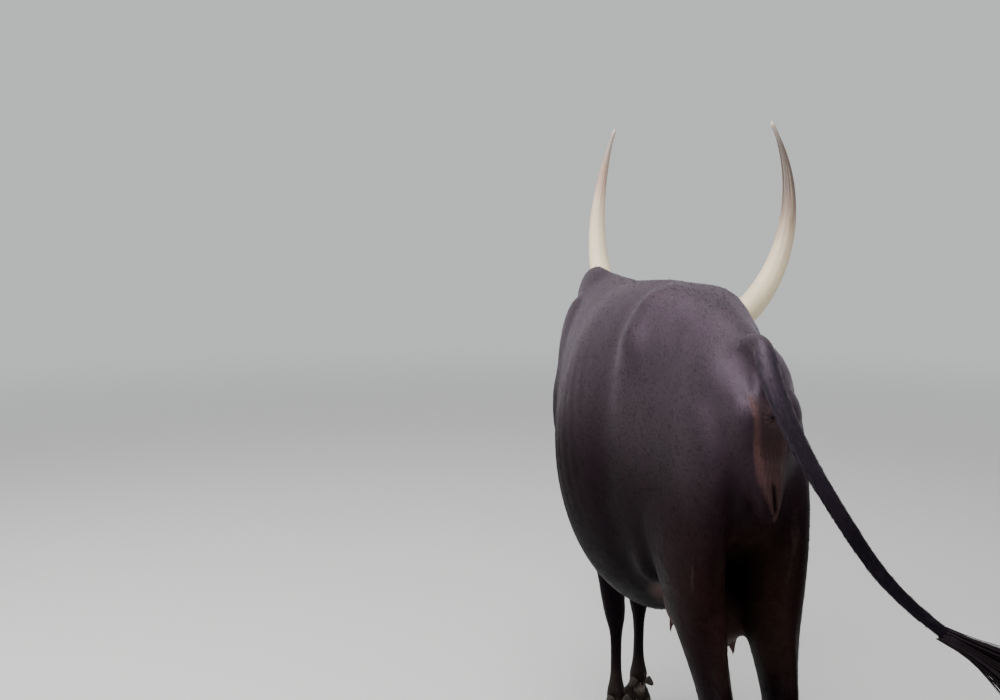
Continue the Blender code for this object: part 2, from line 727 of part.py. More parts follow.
def make_eye(name, side, surface):
    """One eyeball."""
    return named_object(name, mesh_of(eyeball(side, EYE_RADIUS - GAP), name), surface)


def coronet_height(ahead):
    """The height of the coronet at a distance ahead of the foot's middle."""
    share = ahead / CLAW_LENGTH + 0.5
    return blend(CORONET_BACK, CORONET_FRONT, share)


def make_claw(name, foot, foot_side, claw_side, surface):
    """One half of a cloven hoof, flat below and cut off by the coronet above."""
    rings = []
    for step in range(5):
        share = step / 4
        ring = []
        for corner in range(14):
            turn = 2.0 * math.pi * corner / 14
            ahead = math.cos(turn)
            out = math.sin(turn)
            toe = blend(CLAW_LENGTH / 2, CLAW_LENGTH * 0.36, share) if ahead > 0 else CLAW_LENGTH * 0.40
            y = math.copysign(abs(ahead) ** 0.85, ahead) * toe
            half = CLAW_WIDTH / 2 * blend(1.0, 0.90, share)
            wall = out * half * (1.0 if out > 0 else 0.86)
            pinch = 1.0 - 0.28 * max(ahead, 0.0) ** 2
            middle = CLAW_CLEFT / 2 + CLAW_WIDTH / 2 * 0.88
            x = claw_side * (middle + wall * pinch)
            z = share * (coronet_height(y) - GAP)
            ring.append(Vector((foot.x + foot_side * x, foot.y - y, z)))
        rings.append(ring)
    bm = bmesh.new()
    add_loft(bm, rings)
    return named_object(name, mesh_of(bm, name), surface)


def dewclaw_root(foot, side):
    """Where a dewclaw meets the back of the fetlock, and the way it points."""
    behind = FORE_DEWCLAW if foot.y < 0 else HIND_DEWCLAW
    axis = Vector((side * 0.58, 0.64, -0.50)).normalized()
    return foot + Vector((side * 0.0195, behind, 0.118)) + axis * GAP, axis


def make_dewclaw(name, foot, side, surface):
    """A small blunt claw behind the fetlock."""
    place, axis = dewclaw_root(foot, side)
    across = axis.cross(Vector((0, 0, 1))).normalized()
    over = across.cross(axis)
    bm = bmesh.new()
    rings = []
    for step in range(4):
        share = step / 3
        radius = 0.0125 * math.cos(share * 1.25)
        rings.append(oval(place + axis * 0.026 * share, across, over, radius, radius, radius, 2.0, 8))
    add_loft(bm, rings)
    return named_object(name, mesh_of(bm, name), surface)


TAIL_POINTS = (
    (0.006, 0.620, 1.262), (0.010, 0.690, 1.264), (0.008, 0.756, 1.198), (-0.018, 0.798, 1.116),
    (-0.055, 0.830, 1.040), (-0.122, 0.868, 0.928), (-0.180, 0.888, 0.862), (-0.248, 0.905, 0.806),
)
TAIL_CUT = 1


def tail_rows(count):
    """Centres and radii along the tail, thick at its root."""
    stations = []
    for index, point in enumerate(TAIL_POINTS):
        share = index / (len(TAIL_POINTS) - 1)
        stations.append((*point, blend(TAIL_ROOT_RADIUS, TAIL_END_RADIUS, share ** 0.6)))
    return through(stations, count)


def sweep(bm, points, half_side, half_up, normal, sides, power=2.0):
    """A tapered form along points, flat across its normal."""
    rings = []
    last = len(points) - 1
    for index, point in enumerate(points):
        tangent = (points[min(index + 1, last)] - points[max(index - 1, 0)]).normalized()
        side = tangent.cross(normal).normalized()
        up = side.cross(tangent)
        rings.append(oval(point, side, up, half_side[index], half_up[index], half_up[index], power, sides))
    add_loft(bm, rings)


def make_tail(surface):
    """The free part of the tail, from the cut at its root to the switch."""
    rows = tail_rows(TAIL_RINGS)
    first = TAIL_RINGS * TAIL_CUT // (len(TAIL_POINTS) - 1) + 2
    points = [Vector(row[:3]) for row in rows[first:]]
    radii = [row[3] for row in rows[first:]]
    bm = bmesh.new()
    sweep(bm, points, radii, radii, Vector((1, 0.3, 0)), 10)
    made = named_object("tail", mesh_of(bm, "tail"), surface)
    return made, points[0], (points[1] - points[0]).normalized()


def make_switch(surface):
    """The long hair at the tail's end: flat tapered locks fused to a short core."""
    rows = tail_rows(TAIL_RINGS)
    end = Vector(rows[-1][:3])
    run = (end - Vector(rows[-2][:3])).normalized()
    fall = Vector((0, 0, -1))
    draw = random.Random(7)
    across = run.cross(fall).normalized()
    over = across.cross(run)
    hair_run = (run - fall * SWITCH_LEVELLING).normalized()
    start = end - run * 0.004
    pieces = []
    core = bmesh.new()
    core_points = []
    core_radii = []
    for step in range(8):
        share = step / 7
        way = SWITCH_LENGTH * 0.42 * share
        core_points.append(start + hair_run * way + fall * way * share ** 2 * 0.20)
        swell = 0.008 * math.sin(math.pi * share)
        core_radii.append(blend(TAIL_END_RADIUS * 1.02, 0.006, share ** 1.5) + swell)
    sweep(core, core_points, core_radii, core_radii, across, 10)
    pieces.append(scratch_object(core, "core"))
    for lock in range(SWITCH_LOCKS):
        angle = 2.0 * math.pi * (lock * 0.382 + 0.05 * draw.random())
        radial = across * math.cos(angle) + over * math.sin(angle)
        root_share = 0.10 + 0.42 * (lock / SWITCH_LOCKS)
        length = SWITCH_LENGTH * blend(0.72, 0.98, draw.random()) - SWITCH_LENGTH * 0.42 * root_share
        spread = blend(0.020, 0.048, draw.random())
        points = []
        widths = []
        thick = []
        for step in range(7):
            share = step / 6
            way = SWITCH_LENGTH * 0.42 * root_share + length * share
            bend = way / SWITCH_LENGTH
            point = start + hair_run * way * (1.0 - 0.30 * bend) + fall * way * bend ** 2 * 0.72
            point = point + radial * (0.004 + spread * math.sin(math.pi * min(share * 0.8 + 0.04, 1.0)) * 0.8)
            points.append(point)
            widths.append(0.017 * math.sin(math.pi * min(0.22 + share * 0.75, 0.985)) ** 0.8)
            thick.append(blend(0.0060, 0.0022, share))
        bm = bmesh.new()
        sweep(bm, points, widths, thick, radial, 4)
        pieces.append(scratch_object(bm, "lock"))
    made = fused("tail_switch", pieces, surface)
    combine(made, half_space(end + run * GAP, run), "INTERSECT")
    return made


def fused(name, pieces, surface):
    """One closed body from overlapping pieces, the first of them its core."""
    made = pieces[0]
    group = bpy.data.collections.new("pieces")
    for piece in pieces[1:]:
        group.objects.link(piece)
    step = made.modifiers.new("Fuse", "BOOLEAN")
    step.operation = "UNION"
    step.operand_type = "COLLECTION"
    step.collection = group
    step.solver = "EXACT"
    apply_modifiers(made)
    for piece in pieces[1:]:
        discard(piece)
    bpy.data.collections.remove(group)
    keep_largest(made)
    result = named_object(name, made.data, surface)
    discard(made)
    return result


# The whole model
def leg_block(side, sizes, grow=0.0):
    """A tool that holds a leg: all of its side below a step, and above it what lies outside a wall.

    The middle between the legs may lean from one place below a bend to another at the step.
    """
    middle, lean, bend, wall, outer, step, y_low, y_high, top, slope = sizes
    bm = bmesh.new()
    rings = []
    for y in (y_low - grow, y_high + grow):
        level = top + grow + slope * (y - (y_low + y_high) / 2)
        inner = wall - side * grow
        edge = middle - side * grow
        corners = ((edge, -0.05), (outer, -0.05), (outer, level), (inner, level), (inner, step + grow),
                   (edge + lean, step + grow), (edge, bend))
        rings.append([Vector((x, y, z)) for x, z in corners])
    add_loft(bm, rings)
    return scratch_object(bm, "leg_block")


def part_off(body, name, tool, wider_tool, surface):
    """A named piece: what of the body lies in a tool.  The body keeps the rest, less a thin gap."""
    piece = copy_of(body, "piece")
    combine(piece, tool, "INTERSECT")
    combine(body, wider_tool, "DIFFERENCE")
    keep_largest(piece)
    named_object(name, piece.data, surface)
    discard(piece)


def head_plane():
    """The point behind the jaw where the head is parted from the neck."""
    return head_point(0, 0.035, -0.150)


def head_run():
    """The direction from the neck into the head."""
    return (HEAD_OUT * 0.93 - Vector((0, 0, 0.36))).normalized()


def foot_place(centre, side):
    """The middle of one foot on the ground."""
    if centre is FORE_FOOT_CENTRE:
        return Vector((centre.x + side * FORE_FOOT_OUT, centre.y + FORE_STAGGER * side, 0.0))
    return Vector((centre.x + side * HIND_FOOT_OUT, centre.y, 0.0))


def whole_body(tail_point, tail_run):
    """Trunk, neck, legs, udder and the tail's root as one form, cut off at the hooves and tail."""
    bm = bmesh.new()
    add_trunk(bm)
    add_trunk_forms(bm)
    add_udder(bm)
    add_neck(bm)
    add_dewlap(bm)
    for side in (1, -1):
        add_fore_leg(bm, side)
        add_hind_leg(bm, side)
    rows = tail_rows(TAIL_RINGS)[:9]
    radii = [row[3] for row in rows]
    sweep(bm, [Vector(row[:3]) for row in rows], radii, radii, Vector((1, 0.3, 0)), 16)
    body = joined_form(bm, "body", BODY_VOXEL, BODY_SMOOTHING, TRUNK_SMOOTHING)
    thinned(body, BODY_TRIANGLES)
    combine(body, seat_cutter(tail_point - tail_run * GAP, tail_run, 0.06), "DIFFERENCE")
    slope = (CORONET_BACK - CORONET_FRONT) / CLAW_LENGTH
    top = (CORONET_FRONT + CORONET_BACK) / 2
    for centre in (FORE_FOOT_CENTRE, HIND_FOOT_CENTRE):
        for side in (1, -1):
            foot = foot_place(centre, side)
            low = Vector((foot.x - 0.055, foot.y - 0.10, -0.05))
            high = Vector((foot.x + 0.055, foot.y + 0.10, top))
            combine(body, block(low, high, 0.0, slope), "DIFFERENCE")
    return body


def make_neck(body, hide):
    """The neck, between the plane at the shoulders and the plane behind the jaw."""
    point = Vector((0.030, -0.70, 1.04))
    run = Vector((-0.45, -0.88, 0.10)).normalized()
    neck = copy_of(body, "neck_form")
    combine(neck, half_space(point, run), "INTERSECT")
    combine(neck, half_space(head_plane() - head_run() * GAP, head_run()), "DIFFERENCE")
    combine(body, half_space(point - run * GAP, run), "DIFFERENCE")
    keep_largest(neck)
    named_object("neck", neck.data, hide)
    discard(neck)


def make_body(hide, tail_point, tail_run):
    """Neck, legs, udder and torso, parted from one joined form."""
    body = whole_body(tail_point, tail_run)
    make_neck(body, hide)
    low = Vector((-0.0494, 0.25, 0.40))
    high = Vector((0.0494, 0.52, 0.655))
    part_off(body, "udder", block(low, high), block(low, high, GAP), hide)
    for side, word in ((1, "left"), (-1, "right")):
        wall = CHEST_SHIFT * 0.5 + side * 0.065
        middle = FORE_FOOT_CENTRE.x + side * 0.001
        fore = (middle, 0.039, 0.40, wall, side * 0.6, 0.635, -0.72, -0.33, 0.95, 0.0)
        part_off(body, "leg_front_" + word, leg_block(side, fore), leg_block(side, fore, GAP), hide)
        middle = HIND_FOOT_CENTRE.x + side * 0.001
        hind = (middle, 0.0, 0.40, side * 0.050, side * 0.6, 0.72, 0.25, 0.80, 0.90, 0.35)
        part_off(body, "leg_hind_" + word, leg_block(side, hind), leg_block(side, hind, GAP), hide)
    keep_largest(body)
    named_object("torso", body.data, hide)
    discard(body)


def make_head(hide):
    """The head, with seats for the ears and horns, sockets, nostrils and the line of the mouth."""
    bm = bmesh.new()
    add_skull(bm)
    for side in (1, -1):
        add_lids(bm, side)
    add_neck(bm)
    add_dewlap(bm)
    head = thinned(joined_form(bm, "head_form", HEAD_VOXEL, 4), HEAD_TRIANGLES)
    combine(head, half_space(head_plane(), head_run()), "INTERSECT")
    keep_largest(head)
    for side in (1, -1):
        seat, axis = ear_seat(side)
        combine(head, seat_cutter(seat, axis, 0.050, 0.05), "DIFFERENCE")
        combine(head, seat_cutter(horn_seat(side), HEAD_LEFT * side, 0.066), "DIFFERENCE")
        combine(head, scratch_object(eyeball(side, EYE_RADIUS), "socket"), "DIFFERENCE")
        combine(head, nostril_cutter(side), "DIFFERENCE")
    combine(head, mouth_cutter(), "DIFFERENCE")
    keep_largest(head)
    named_object("head", head.data, hide)
    discard(head)


def stand_at_origin():
    """Move the whole model so that the middle of its footprint on the floor is the origin."""
    low = [math.inf, math.inf]
    high = [-math.inf, -math.inf]
    for item in bpy.data.objects:
        for vert in item.data.vertices:
            for axis in (0, 1):
                low[axis] = min(low[axis], vert.co[axis])
                high[axis] = max(high[axis], vert.co[axis])
    for item in bpy.data.objects:
        item.location = (-(low[0] + high[0]) / 2, -(low[1] + high[1]) / 2, 0.0)


def main():
    for item in list(bpy.data.objects):
        bpy.data.objects.remove(item)
    hide = material("hide", (0.045, 0.030, 0.028), 0.55)
    horn = material("horn", (0.62, 0.52, 0.40), 0.45)
    hoof = material("hoof", (0.035, 0.030, 0.028), 0.50)
    eye = material("eye", (0.015, 0.010, 0.008), 0.10)
    hair = material("hair", (0.020, 0.018, 0.022), 0.60)
    tail, point, run = make_tail(hide)
    make_body(hide, point, run)
    make_head(hide)
    make_switch(hair)
    for side, word in ((1, "left"), (-1, "right")):
        make_horn("horn_" + word, side, horn)
        make_ear("ear_" + word, side, hide)
        make_eye("eye_" + word, side, eye)
        for centre, end in ((FORE_FOOT_CENTRE, "front"), (HIND_FOOT_CENTRE, "hind")):
            foot = foot_place(centre, side)
            for claw_side, edge in ((1, "outer"), (-1, "inner")):
                label = "_".join((end, word, edge))
                make_claw("claw_" + label, foot, side, claw_side, hoof)
                make_dewclaw("dewclaw_" + label, foot, side * claw_side, hoof)
    stand_at_origin()


main()
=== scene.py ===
"""The looks of a life-size model of a standing long-horned cow: its skin, coat, horns, hooves and eyes."""
import math
import random

import bmesh
import bpy
import numpy as np
from mathutils import Matrix, Vector
from mathutils.bvhtree import BVHTree
from mathutils.geometry import barycentric_transform, interpolate_bezier


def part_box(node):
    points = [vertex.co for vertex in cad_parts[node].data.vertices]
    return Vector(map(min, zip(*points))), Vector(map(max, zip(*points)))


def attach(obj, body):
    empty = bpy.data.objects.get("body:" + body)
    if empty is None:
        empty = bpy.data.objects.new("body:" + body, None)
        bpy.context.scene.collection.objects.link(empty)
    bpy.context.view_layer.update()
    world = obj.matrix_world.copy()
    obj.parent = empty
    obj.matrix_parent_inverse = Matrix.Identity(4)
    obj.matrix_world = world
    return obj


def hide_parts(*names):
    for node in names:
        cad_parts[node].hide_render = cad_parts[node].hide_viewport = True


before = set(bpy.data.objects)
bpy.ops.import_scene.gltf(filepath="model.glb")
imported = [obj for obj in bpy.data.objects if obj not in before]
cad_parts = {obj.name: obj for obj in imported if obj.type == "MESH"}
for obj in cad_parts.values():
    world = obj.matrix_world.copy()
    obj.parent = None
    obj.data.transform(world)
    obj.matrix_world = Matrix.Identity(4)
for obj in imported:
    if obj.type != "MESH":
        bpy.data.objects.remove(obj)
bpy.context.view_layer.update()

# The cow's own frame: it faces -Y, +X is its left, and z is 0 at the ground
GAP = 0.0003
HUMP_HEIGHT = 1.375
BACK_HEIGHT = 1.362
HOOK_HEIGHT = 1.305
PIN_HEIGHT = 1.185
HOOK_HALF_WIDTH = 0.143
PIN_HALF_WIDTH = 0.075
BARREL_HALF_WIDTH = 0.222
CHEST_DEPTH = 0.77
PIN_Y = 0.72
HOOK_Y = 0.275
WITHERS_Y = -0.50
BRISKET_Y = -0.80
CHEST_SHIFT = 0.034
HUMP_SHIFT = 0.056
HOOK_SHIFT = 0.016
POLL = Vector((-0.350, -1.095, 1.133))
HEAD_YAW = math.radians(38)
HEAD_PITCH = math.radians(62)
HEAD_LENGTH = 0.50
FOREHEAD_HALF_WIDTH = 0.098
MUZZLE_HALF_WIDTH = 0.064
EYE_RADIUS = 0.021
HORN_BASE_DIAMETER = 0.108
HORN_TIP_DIAMETER = 0.014
HORN_SPREAD = 0.43
HORN_RISE = 0.70
EAR_LENGTH = 0.21
EAR_HALF_WIDTH = 0.052
EAR_WALL = 0.005
HORN_PLACE = (0.004, -0.032)
EAR_PLACE = (0.045, -0.098)
FORE_FOOT_CENTRE = Vector((-0.038, -0.485, 0.0))
FORE_FOOT_OUT = 0.048
FORE_STAGGER = 0.058
HIND_FOOT_CENTRE = Vector((-0.008, 0.565, 0.0))
HIND_FOOT_OUT = 0.072
CLAW_LENGTH = 0.108
CLAW_WIDTH = 0.044
CLAW_CLEFT = 0.005
CORONET_FRONT = 0.064
CORONET_BACK = 0.038
TAIL_ROOT_RADIUS = 0.027
TAIL_END_RADIUS = 0.0115
SWITCH_LENGTH = 0.40
SWITCH_LEVELLING = 0.24

UP = Vector((0, 0, 1))
LEFT = Vector((1, 0, 0))

# Fineness of the skin and depth of the coat over it
TRUNK_RINGS = 110
TRUNK_SIDES = 72
LIMB_RINGS = 100
LIMB_SIDES = 32
NECK_RINGS = 52
NECK_SIDES = 48
SKULL_RINGS = 80
SKULL_SIDES = 56
BALL_STEPS = 4
BODY_VOXEL = 0.0048
HEAD_VOXEL = 0.0022
BODY_SMOOTHING = 46
TRUNK_SMOOTHING = 105
COAT_DEPTH = 0.0015
HEAD_OUT = Vector((-math.sin(HEAD_YAW), -math.cos(HEAD_YAW), 0.0))
HEAD_LEFT = Vector((math.cos(HEAD_YAW), -math.sin(HEAD_YAW), 0.0))
HEAD_FORWARD = HEAD_OUT * math.cos(HEAD_PITCH) - Vector((0, 0, math.sin(HEAD_PITCH)))
HEAD_UP = HEAD_OUT * math.sin(HEAD_PITCH) + Vector((0, 0, math.cos(HEAD_PITCH)))
HEAD_TURN = Matrix((HEAD_LEFT, HEAD_FORWARD, HEAD_UP)).transposed()


def head_point(left, forward, up):
    """A place on the head, measured from the poll."""
    return POLL + HEAD_LEFT * left + HEAD_FORWARD * forward + HEAD_UP * up


def eye_centre(side):
    """The middle of an eyeball, sunk in the side of the head."""
    return head_point(side * 0.0885, 0.152, -0.052)


def frame_shift():
    """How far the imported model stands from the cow's own frame, read from its eyes."""
    offset = Vector((0, 0, 0))
    for side, word in ((1, "left"), (-1, "right")):
        low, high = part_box("eye_" + word)
        offset += (Vector(low) + Vector(high)) / 2 - eye_centre(side)
    return Vector((offset.x / 2, offset.y / 2, 0.0))


SHIFT = frame_shift()


# Curves and sections
def blend(low, high, share):
    """A value between two others."""
    return low + (high - low) * share


def ease(value, low, high):
    """0 below low, 1 above high, and a smooth step between."""
    share = min(max((value - low) / (high - low), 0.0), 1.0)
    return share * share * (3.0 - 2.0 * share)


def through(stations, count):
    """Values on a smooth curve through equal-length rows of numbers."""
    rows = []
    last = len(stations) - 1
    for step in range(count):
        place = last * step / (count - 1)
        index = min(int(place), last - 1)
        share = place - index
        before = stations[max(index - 1, 0)]
        start, end = stations[index], stations[index + 1]
        after = stations[min(index + 2, last)]
        row = []
        for a, b, c, d in zip(before, start, end, after):
            bend = (2 * a - 5 * b + 4 * c - d) + (3 * b - a - 3 * c + d) * share
            row.append(b + 0.5 * share * ((c - a) + share * bend))
        rows.append(row)
    return rows


def oval(centre, side, up, half_side, half_up, half_down, power, sides, low_power=None):
    """A closed ring, squarer as its powers grow, with its own half heights above and below."""
    ring = []
    for step in range(sides):
        angle = 2.0 * math.pi * step / sides
        across = math.cos(angle)
        rise = math.sin(angle)
        bend = 2.0 / (low_power if low_power and rise < 0 else power)
        along_side = math.copysign(abs(across) ** bend, across) * half_side
        along_up = math.copysign(abs(rise) ** bend, rise)
        along_up *= half_up if rise > 0 else half_down
        ring.append(centre + side * along_side + up * along_up)
    return ring


def add_loft(bm, rings):
    """A closed skin over a row of rings."""
    layers = []
    for ring in rings:
        layers.append([bm.verts.new(point) for point in ring])
    count = len(layers[0])
    for lower, upper in zip(layers, layers[1:]):
        for step in range(count):
            after = (step + 1) % count
            bm.faces.new((lower[step], lower[after], upper[after], upper[step]))
    bm.faces.new(reversed(layers[0]))
    bm.faces.new(layers[-1])


def add_ball(bm, centre, semi_axes, turn=None):
    """An ellipsoid, with its axes turned by a matrix."""
    shape = Matrix.Translation(centre)
    if turn is not None:
        shape = shape @ turn.to_4x4()
    shape = shape @ Matrix.Diagonal((*semi_axes, 1.0))
    bmesh.ops.create_icosphere(bm, subdivisions=BALL_STEPS, radius=1.0, matrix=shape)


def add_limb(bm, stations, count=LIMB_RINGS, sides=LIMB_SIDES, across=LEFT, level=False):
    """A limb along stations of x, y, z, half side, half front and half back, square to it or level."""
    rows = through(stations, count)
    centres = [Vector(row[:3]) for row in rows]
    rings = []
    for index, row in enumerate(rows):
        ahead = centres[min(index + 1, count - 1)]
        behind = centres[max(index - 1, 0)]
        tangent = Vector((0, 0, -1)) if level else (ahead - behind).normalized()
        side = (across - tangent * across.dot(tangent)).normalized()
        front = tangent.cross(side)
        if front.y > 0:
            front = -front
        rings.append(oval(centres[index], side, front, row[3], row[4], row[5], 2.0, sides))
    add_loft(bm, rings)


def sweep(bm, points, half_side, half_up, normal, sides, power=2.0):
    """A tapered form along points, flat across its normal."""
    rings = []
    last = len(points) - 1
    for index, point in enumerate(points):
        tangent = (points[min(index + 1, last)] - points[max(index - 1, 0)]).normalized()
        side = tangent.cross(normal).normalized()
        up = side.cross(tangent)
        rings.append(oval(point, side, up, half_side[index], half_up[index], half_up[index], power, sides))
    add_loft(bm, rings)


# Working meshes
def mesh_of(bm, name):
    """A mesh from a worked form, its faces turned outwards."""
    bmesh.ops.recalc_face_normals(bm, faces=bm.faces)
    mesh = bpy.data.meshes.new(name)
    bm.to_mesh(mesh)
    bm.free()
    return mesh


def worked(mesh):
    """A mesh opened for working."""
    bm = bmesh.new()
    bm.from_mesh(mesh)
    return bm


def linked(name, data):
    """A new object in the scene."""
    made = bpy.data.objects.new(name, data)
    bpy.context.collection.objects.link(made)
    return made


def apply_modifiers(target):
    """The object keeps what its modifiers make."""
    graph = bpy.context.evaluated_depsgraph_get()
    mesh = bpy.data.meshes.new_from_object(target.evaluated_get(graph))
    target.modifiers.clear()
    target.data = mesh


def scratch_object(bm, name):
    """A working object that doesn't stay in the scene."""
    return linked(name, mesh_of(bm, name))


def discard(item):
    """Take a working object away."""
    bpy.data.objects.remove(item)


def trunk_share(place):
    """1 on the trunk, fading to 0 on the legs and the head."""
    return ease(place.z, 0.50, 0.70) * ease(place.y, -0.95, -0.75) * (1.0 - ease(place.y, 0.75, 0.80))


def joined_form(bm, name, voxel, smoothing, trunk_smoothing=0):
    """One closed skin round overlapping pieces, smoothed all over and then again on the trunk."""
    made = scratch_object(bm, name)
    remesh = made.modifiers.new("Join", "REMESH")
    remesh.mode = "VOXEL"
    remesh.voxel_size = voxel
    relax = made.modifiers.new("Relax", "SMOOTH")
    relax.factor = 0.5
    relax.iterations = smoothing
    apply_modifiers(made)
    if trunk_smoothing:
        group = made.vertex_groups.new(name="trunk")
        for vert in made.data.vertices:
            share = trunk_share(vert.co)
            if share > 0.0:
                group.add([vert.index], share, "REPLACE")
        flow = made.modifiers.new("Flow", "SMOOTH")
        flow.factor = 0.5
        flow.iterations = trunk_smoothing
        flow.vertex_group = "trunk"
        apply_modifiers(made)
    return made


def cut_with(target, tool):
    """Cut a tool out of the target, and remove the tool."""
    step = target.modifiers.new("Cut", "BOOLEAN")
    step.operation = "DIFFERENCE"
    step.solver = "MANIFOLD"
    step.object = tool
    apply_modifiers(target)
    discard(tool)


# The body's forms
def add_trunk(bm):
    """The barrel, chest and rump, lofted from the pins to the brisket."""
    belly = HUMP_HEIGHT - 0.055 - CHEST_DEPTH
    wide = BARREL_HALF_WIDTH
    back = BACK_HEIGHT
    hooks = HOOK_HALF_WIDTH
    stations = (
        (PIN_Y - 0.005, 0.000, PIN_HEIGHT + 0.010, 1.02, 0.045, 1.8),
        (PIN_Y - 0.060, 0.000, PIN_HEIGHT + 0.072, 0.93, 0.080, 1.6),
        (0.550, 0.002, back - 0.066, 0.86, 0.118, 1.7),
        (0.430, 0.006, back - 0.026, 0.79, 0.141, 1.9),
        (HOOK_Y + 0.060, 0.012, back - 0.006, 0.715, hooks + 0.012, 2.6),
        (HOOK_Y, HOOK_SHIFT, back, belly + 0.118, hooks + 0.020, 3.3),
        (HOOK_Y - 0.065, 0.020, back + 0.001, belly + 0.072, hooks + 0.026, 2.35),
        (0.120, 0.024, back + 0.002, belly + 0.022, wide - 0.022, 2.1),
        (-0.020, 0.032, back - 0.006, belly, wide, 2.05),
        (-0.170, CHEST_SHIFT, back - 0.014, belly + 0.028, wide - 0.018, 1.95),
        (-0.330, CHEST_SHIFT + 0.001, back - 0.010, belly + 0.088, wide - 0.050, 1.85),
        (-0.480, CHEST_SHIFT + 0.002, back - 0.010, belly + 0.105, wide - 0.079, 1.75),
        (-0.620, CHEST_SHIFT, back - 0.070, belly + 0.130, wide - 0.096, 1.85),
        (-0.740, CHEST_SHIFT - 0.006, back - 0.170, belly + 0.170, 0.092, 2.0),
        (BRISKET_Y, CHEST_SHIFT - 0.012, back - 0.290, belly + 0.260, 0.045, 2.0),
    )
    rings = []
    for y, shift, top, bottom, half_width, roof in through(stations, TRUNK_RINGS):
        level = blend(bottom, top, 0.47)
        centre = Vector((shift, y, level))
        rings.append(oval(centre, LEFT, UP, half_width,
                          top - level, level - bottom, roof, TRUNK_SIDES, 1.85))
    add_loft(bm, rings)


def add_trunk_forms(bm):
    """Hump, hooks, pins, shoulder blades, brisket, flanks and the forms under the tail."""
    shift = CHEST_SHIFT
    add_ball(bm, Vector((HUMP_SHIFT, WITHERS_Y - 0.01, HUMP_HEIGHT - 0.13)), (0.050, 0.21, 0.13))
    for side in (1, -1):
        hook = Vector((HOOK_SHIFT + side * (HOOK_HALF_WIDTH - 0.045), HOOK_Y + 0.004, HOOK_HEIGHT - 0.085))
        add_ball(bm, hook, (0.062, 0.085, 0.078))
        add_ball(bm, Vector((side * 0.046, HOOK_Y + 0.16, HOOK_HEIGHT - 0.13)), (0.062, 0.23, 0.10))
        pin = Vector((side * (PIN_HALF_WIDTH - 0.040), PIN_Y - 0.070, PIN_HEIGHT - 0.044))
        add_ball(bm, pin, (0.041, 0.090, 0.066))
        blade_turn = Matrix.Rotation(math.radians(-22), 3, "X")
        blade = Vector((shift + side * 0.080, WITHERS_Y - 0.03, 1.09))
        add_ball(bm, blade, (0.052, 0.120, 0.21), blade_turn)
        add_ball(bm, Vector((shift + side * 0.080, -0.64, 0.95)), (0.050, 0.10, 0.13))
        add_ball(bm, Vector((side * 0.110, HOOK_Y - 0.085, 0.80)), (0.030, 0.12, 0.085))
        add_ball(bm, Vector((side * 0.013, PIN_Y - 0.006, 1.02)), (0.018, 0.026, 0.085))
    add_ball(bm, Vector((0, PIN_Y - 0.014, 1.145)), (0.028, 0.03, 0.032))


def add_dewlap(bm):
    """The loose fold of skin from the throat down to the brisket."""
    rows = (
        (-0.262, -1.010, 1.000, 0.020, 0.030, 0.040), (-0.200, -0.965, 0.935, 0.024, 0.040, 0.080),
        (-0.120, -0.905, 0.880, 0.030, 0.050, 0.100), (-0.040, -0.840, 0.835, 0.038, 0.060, 0.100),
        (0.015, -0.770, 0.800, 0.048, 0.065, 0.090), (CHEST_SHIFT, -0.680, 0.780, 0.058, 0.070, 0.085),
        (CHEST_SHIFT, -0.580, 0.770, 0.060, 0.060, 0.070),
    )
    add_limb(bm, rows, across=Vector((0.85, -0.52, 0)))


def add_udder(bm):
    """A small udder high between the thighs, with four teats."""
    add_ball(bm, Vector((0.0, 0.37, 0.685)), (0.088, 0.14, 0.086))
    for side in (1, -1):
        for y in (0.285, 0.42):
            top = (side * 0.044, y, 0.66, 0.018, 0.018, 0.018)
            low = (side * 0.048, y - 0.004, 0.600, 0.012, 0.012, 0.012)
            tip = (side * 0.049, y - 0.005, 0.568, 0.008, 0.008, 0.008)
            add_limb(bm, (top, low, tip), 8)


def fore_place(side, out, y, z):
    """A point of a front leg, which leans in from the chest to its foot."""
    height = ease(z, 0.30, 0.95)
    stance = blend(FORE_FOOT_CENTRE.x, CHEST_SHIFT, height)
    stagger = FORE_STAGGER * side * (1.0 - height)
    return (stance + side * out, y + stagger, z)


def add_fore_leg(bm, side):
    """A front leg from the shoulder to the coronet."""
    foot = FORE_FOOT_CENTRE.y
    out = FORE_FOOT_OUT
    rows = (
        (0.058, -0.49, 1.22, 0.022, 0.06, 0.06), (0.072, -0.50, 1.13, 0.042, 0.10, 0.10),
        (0.086, -0.55, 1.02, 0.052, 0.14, 0.15),
        (0.088, -0.55, 0.90, 0.055, 0.14, 0.17), (0.081, -0.51, 0.80, 0.053, 0.11, 0.125),
        (0.072, -0.495, 0.70, 0.048, 0.074, 0.078), (0.064, -0.487, 0.58, 0.043, 0.052, 0.054),
        (0.056, -0.483, 0.48, 0.037, 0.038, 0.038), (0.051, -0.486, 0.415, 0.038, 0.040, 0.037),
        (0.050, -0.482, 0.355, 0.033, 0.033, 0.033), (0.049, -0.478, 0.29, 0.0210, 0.022, 0.025),
        (0.048, foot + 0.012, 0.18, 0.0200, 0.022, 0.026), (out, foot + 0.016, 0.125, 0.030, 0.031, 0.036),
        (out, foot + 0.002, 0.088, 0.027, 0.028, 0.032), (out, foot - 0.012, 0.055, 0.042, 0.044, 0.046),
        (out, foot - 0.020, 0.028, 0.043, 0.046, 0.048),
    )
    stations = []
    for row in rows:
        stations.append((*fore_place(side, *row[:3]), *row[3:]))
    add_limb(bm, stations, level=True)


def hind_stations(side, rows):
    """Stations of a back leg, from rows that begin with the distance out from its stance."""
    made = []
    for out, y, z, *half in rows:
        stance = HIND_FOOT_CENTRE.x * (1.0 - ease(z, 0.5, 0.9))
        made.append((stance + side * out, y, z, *half))
    return made


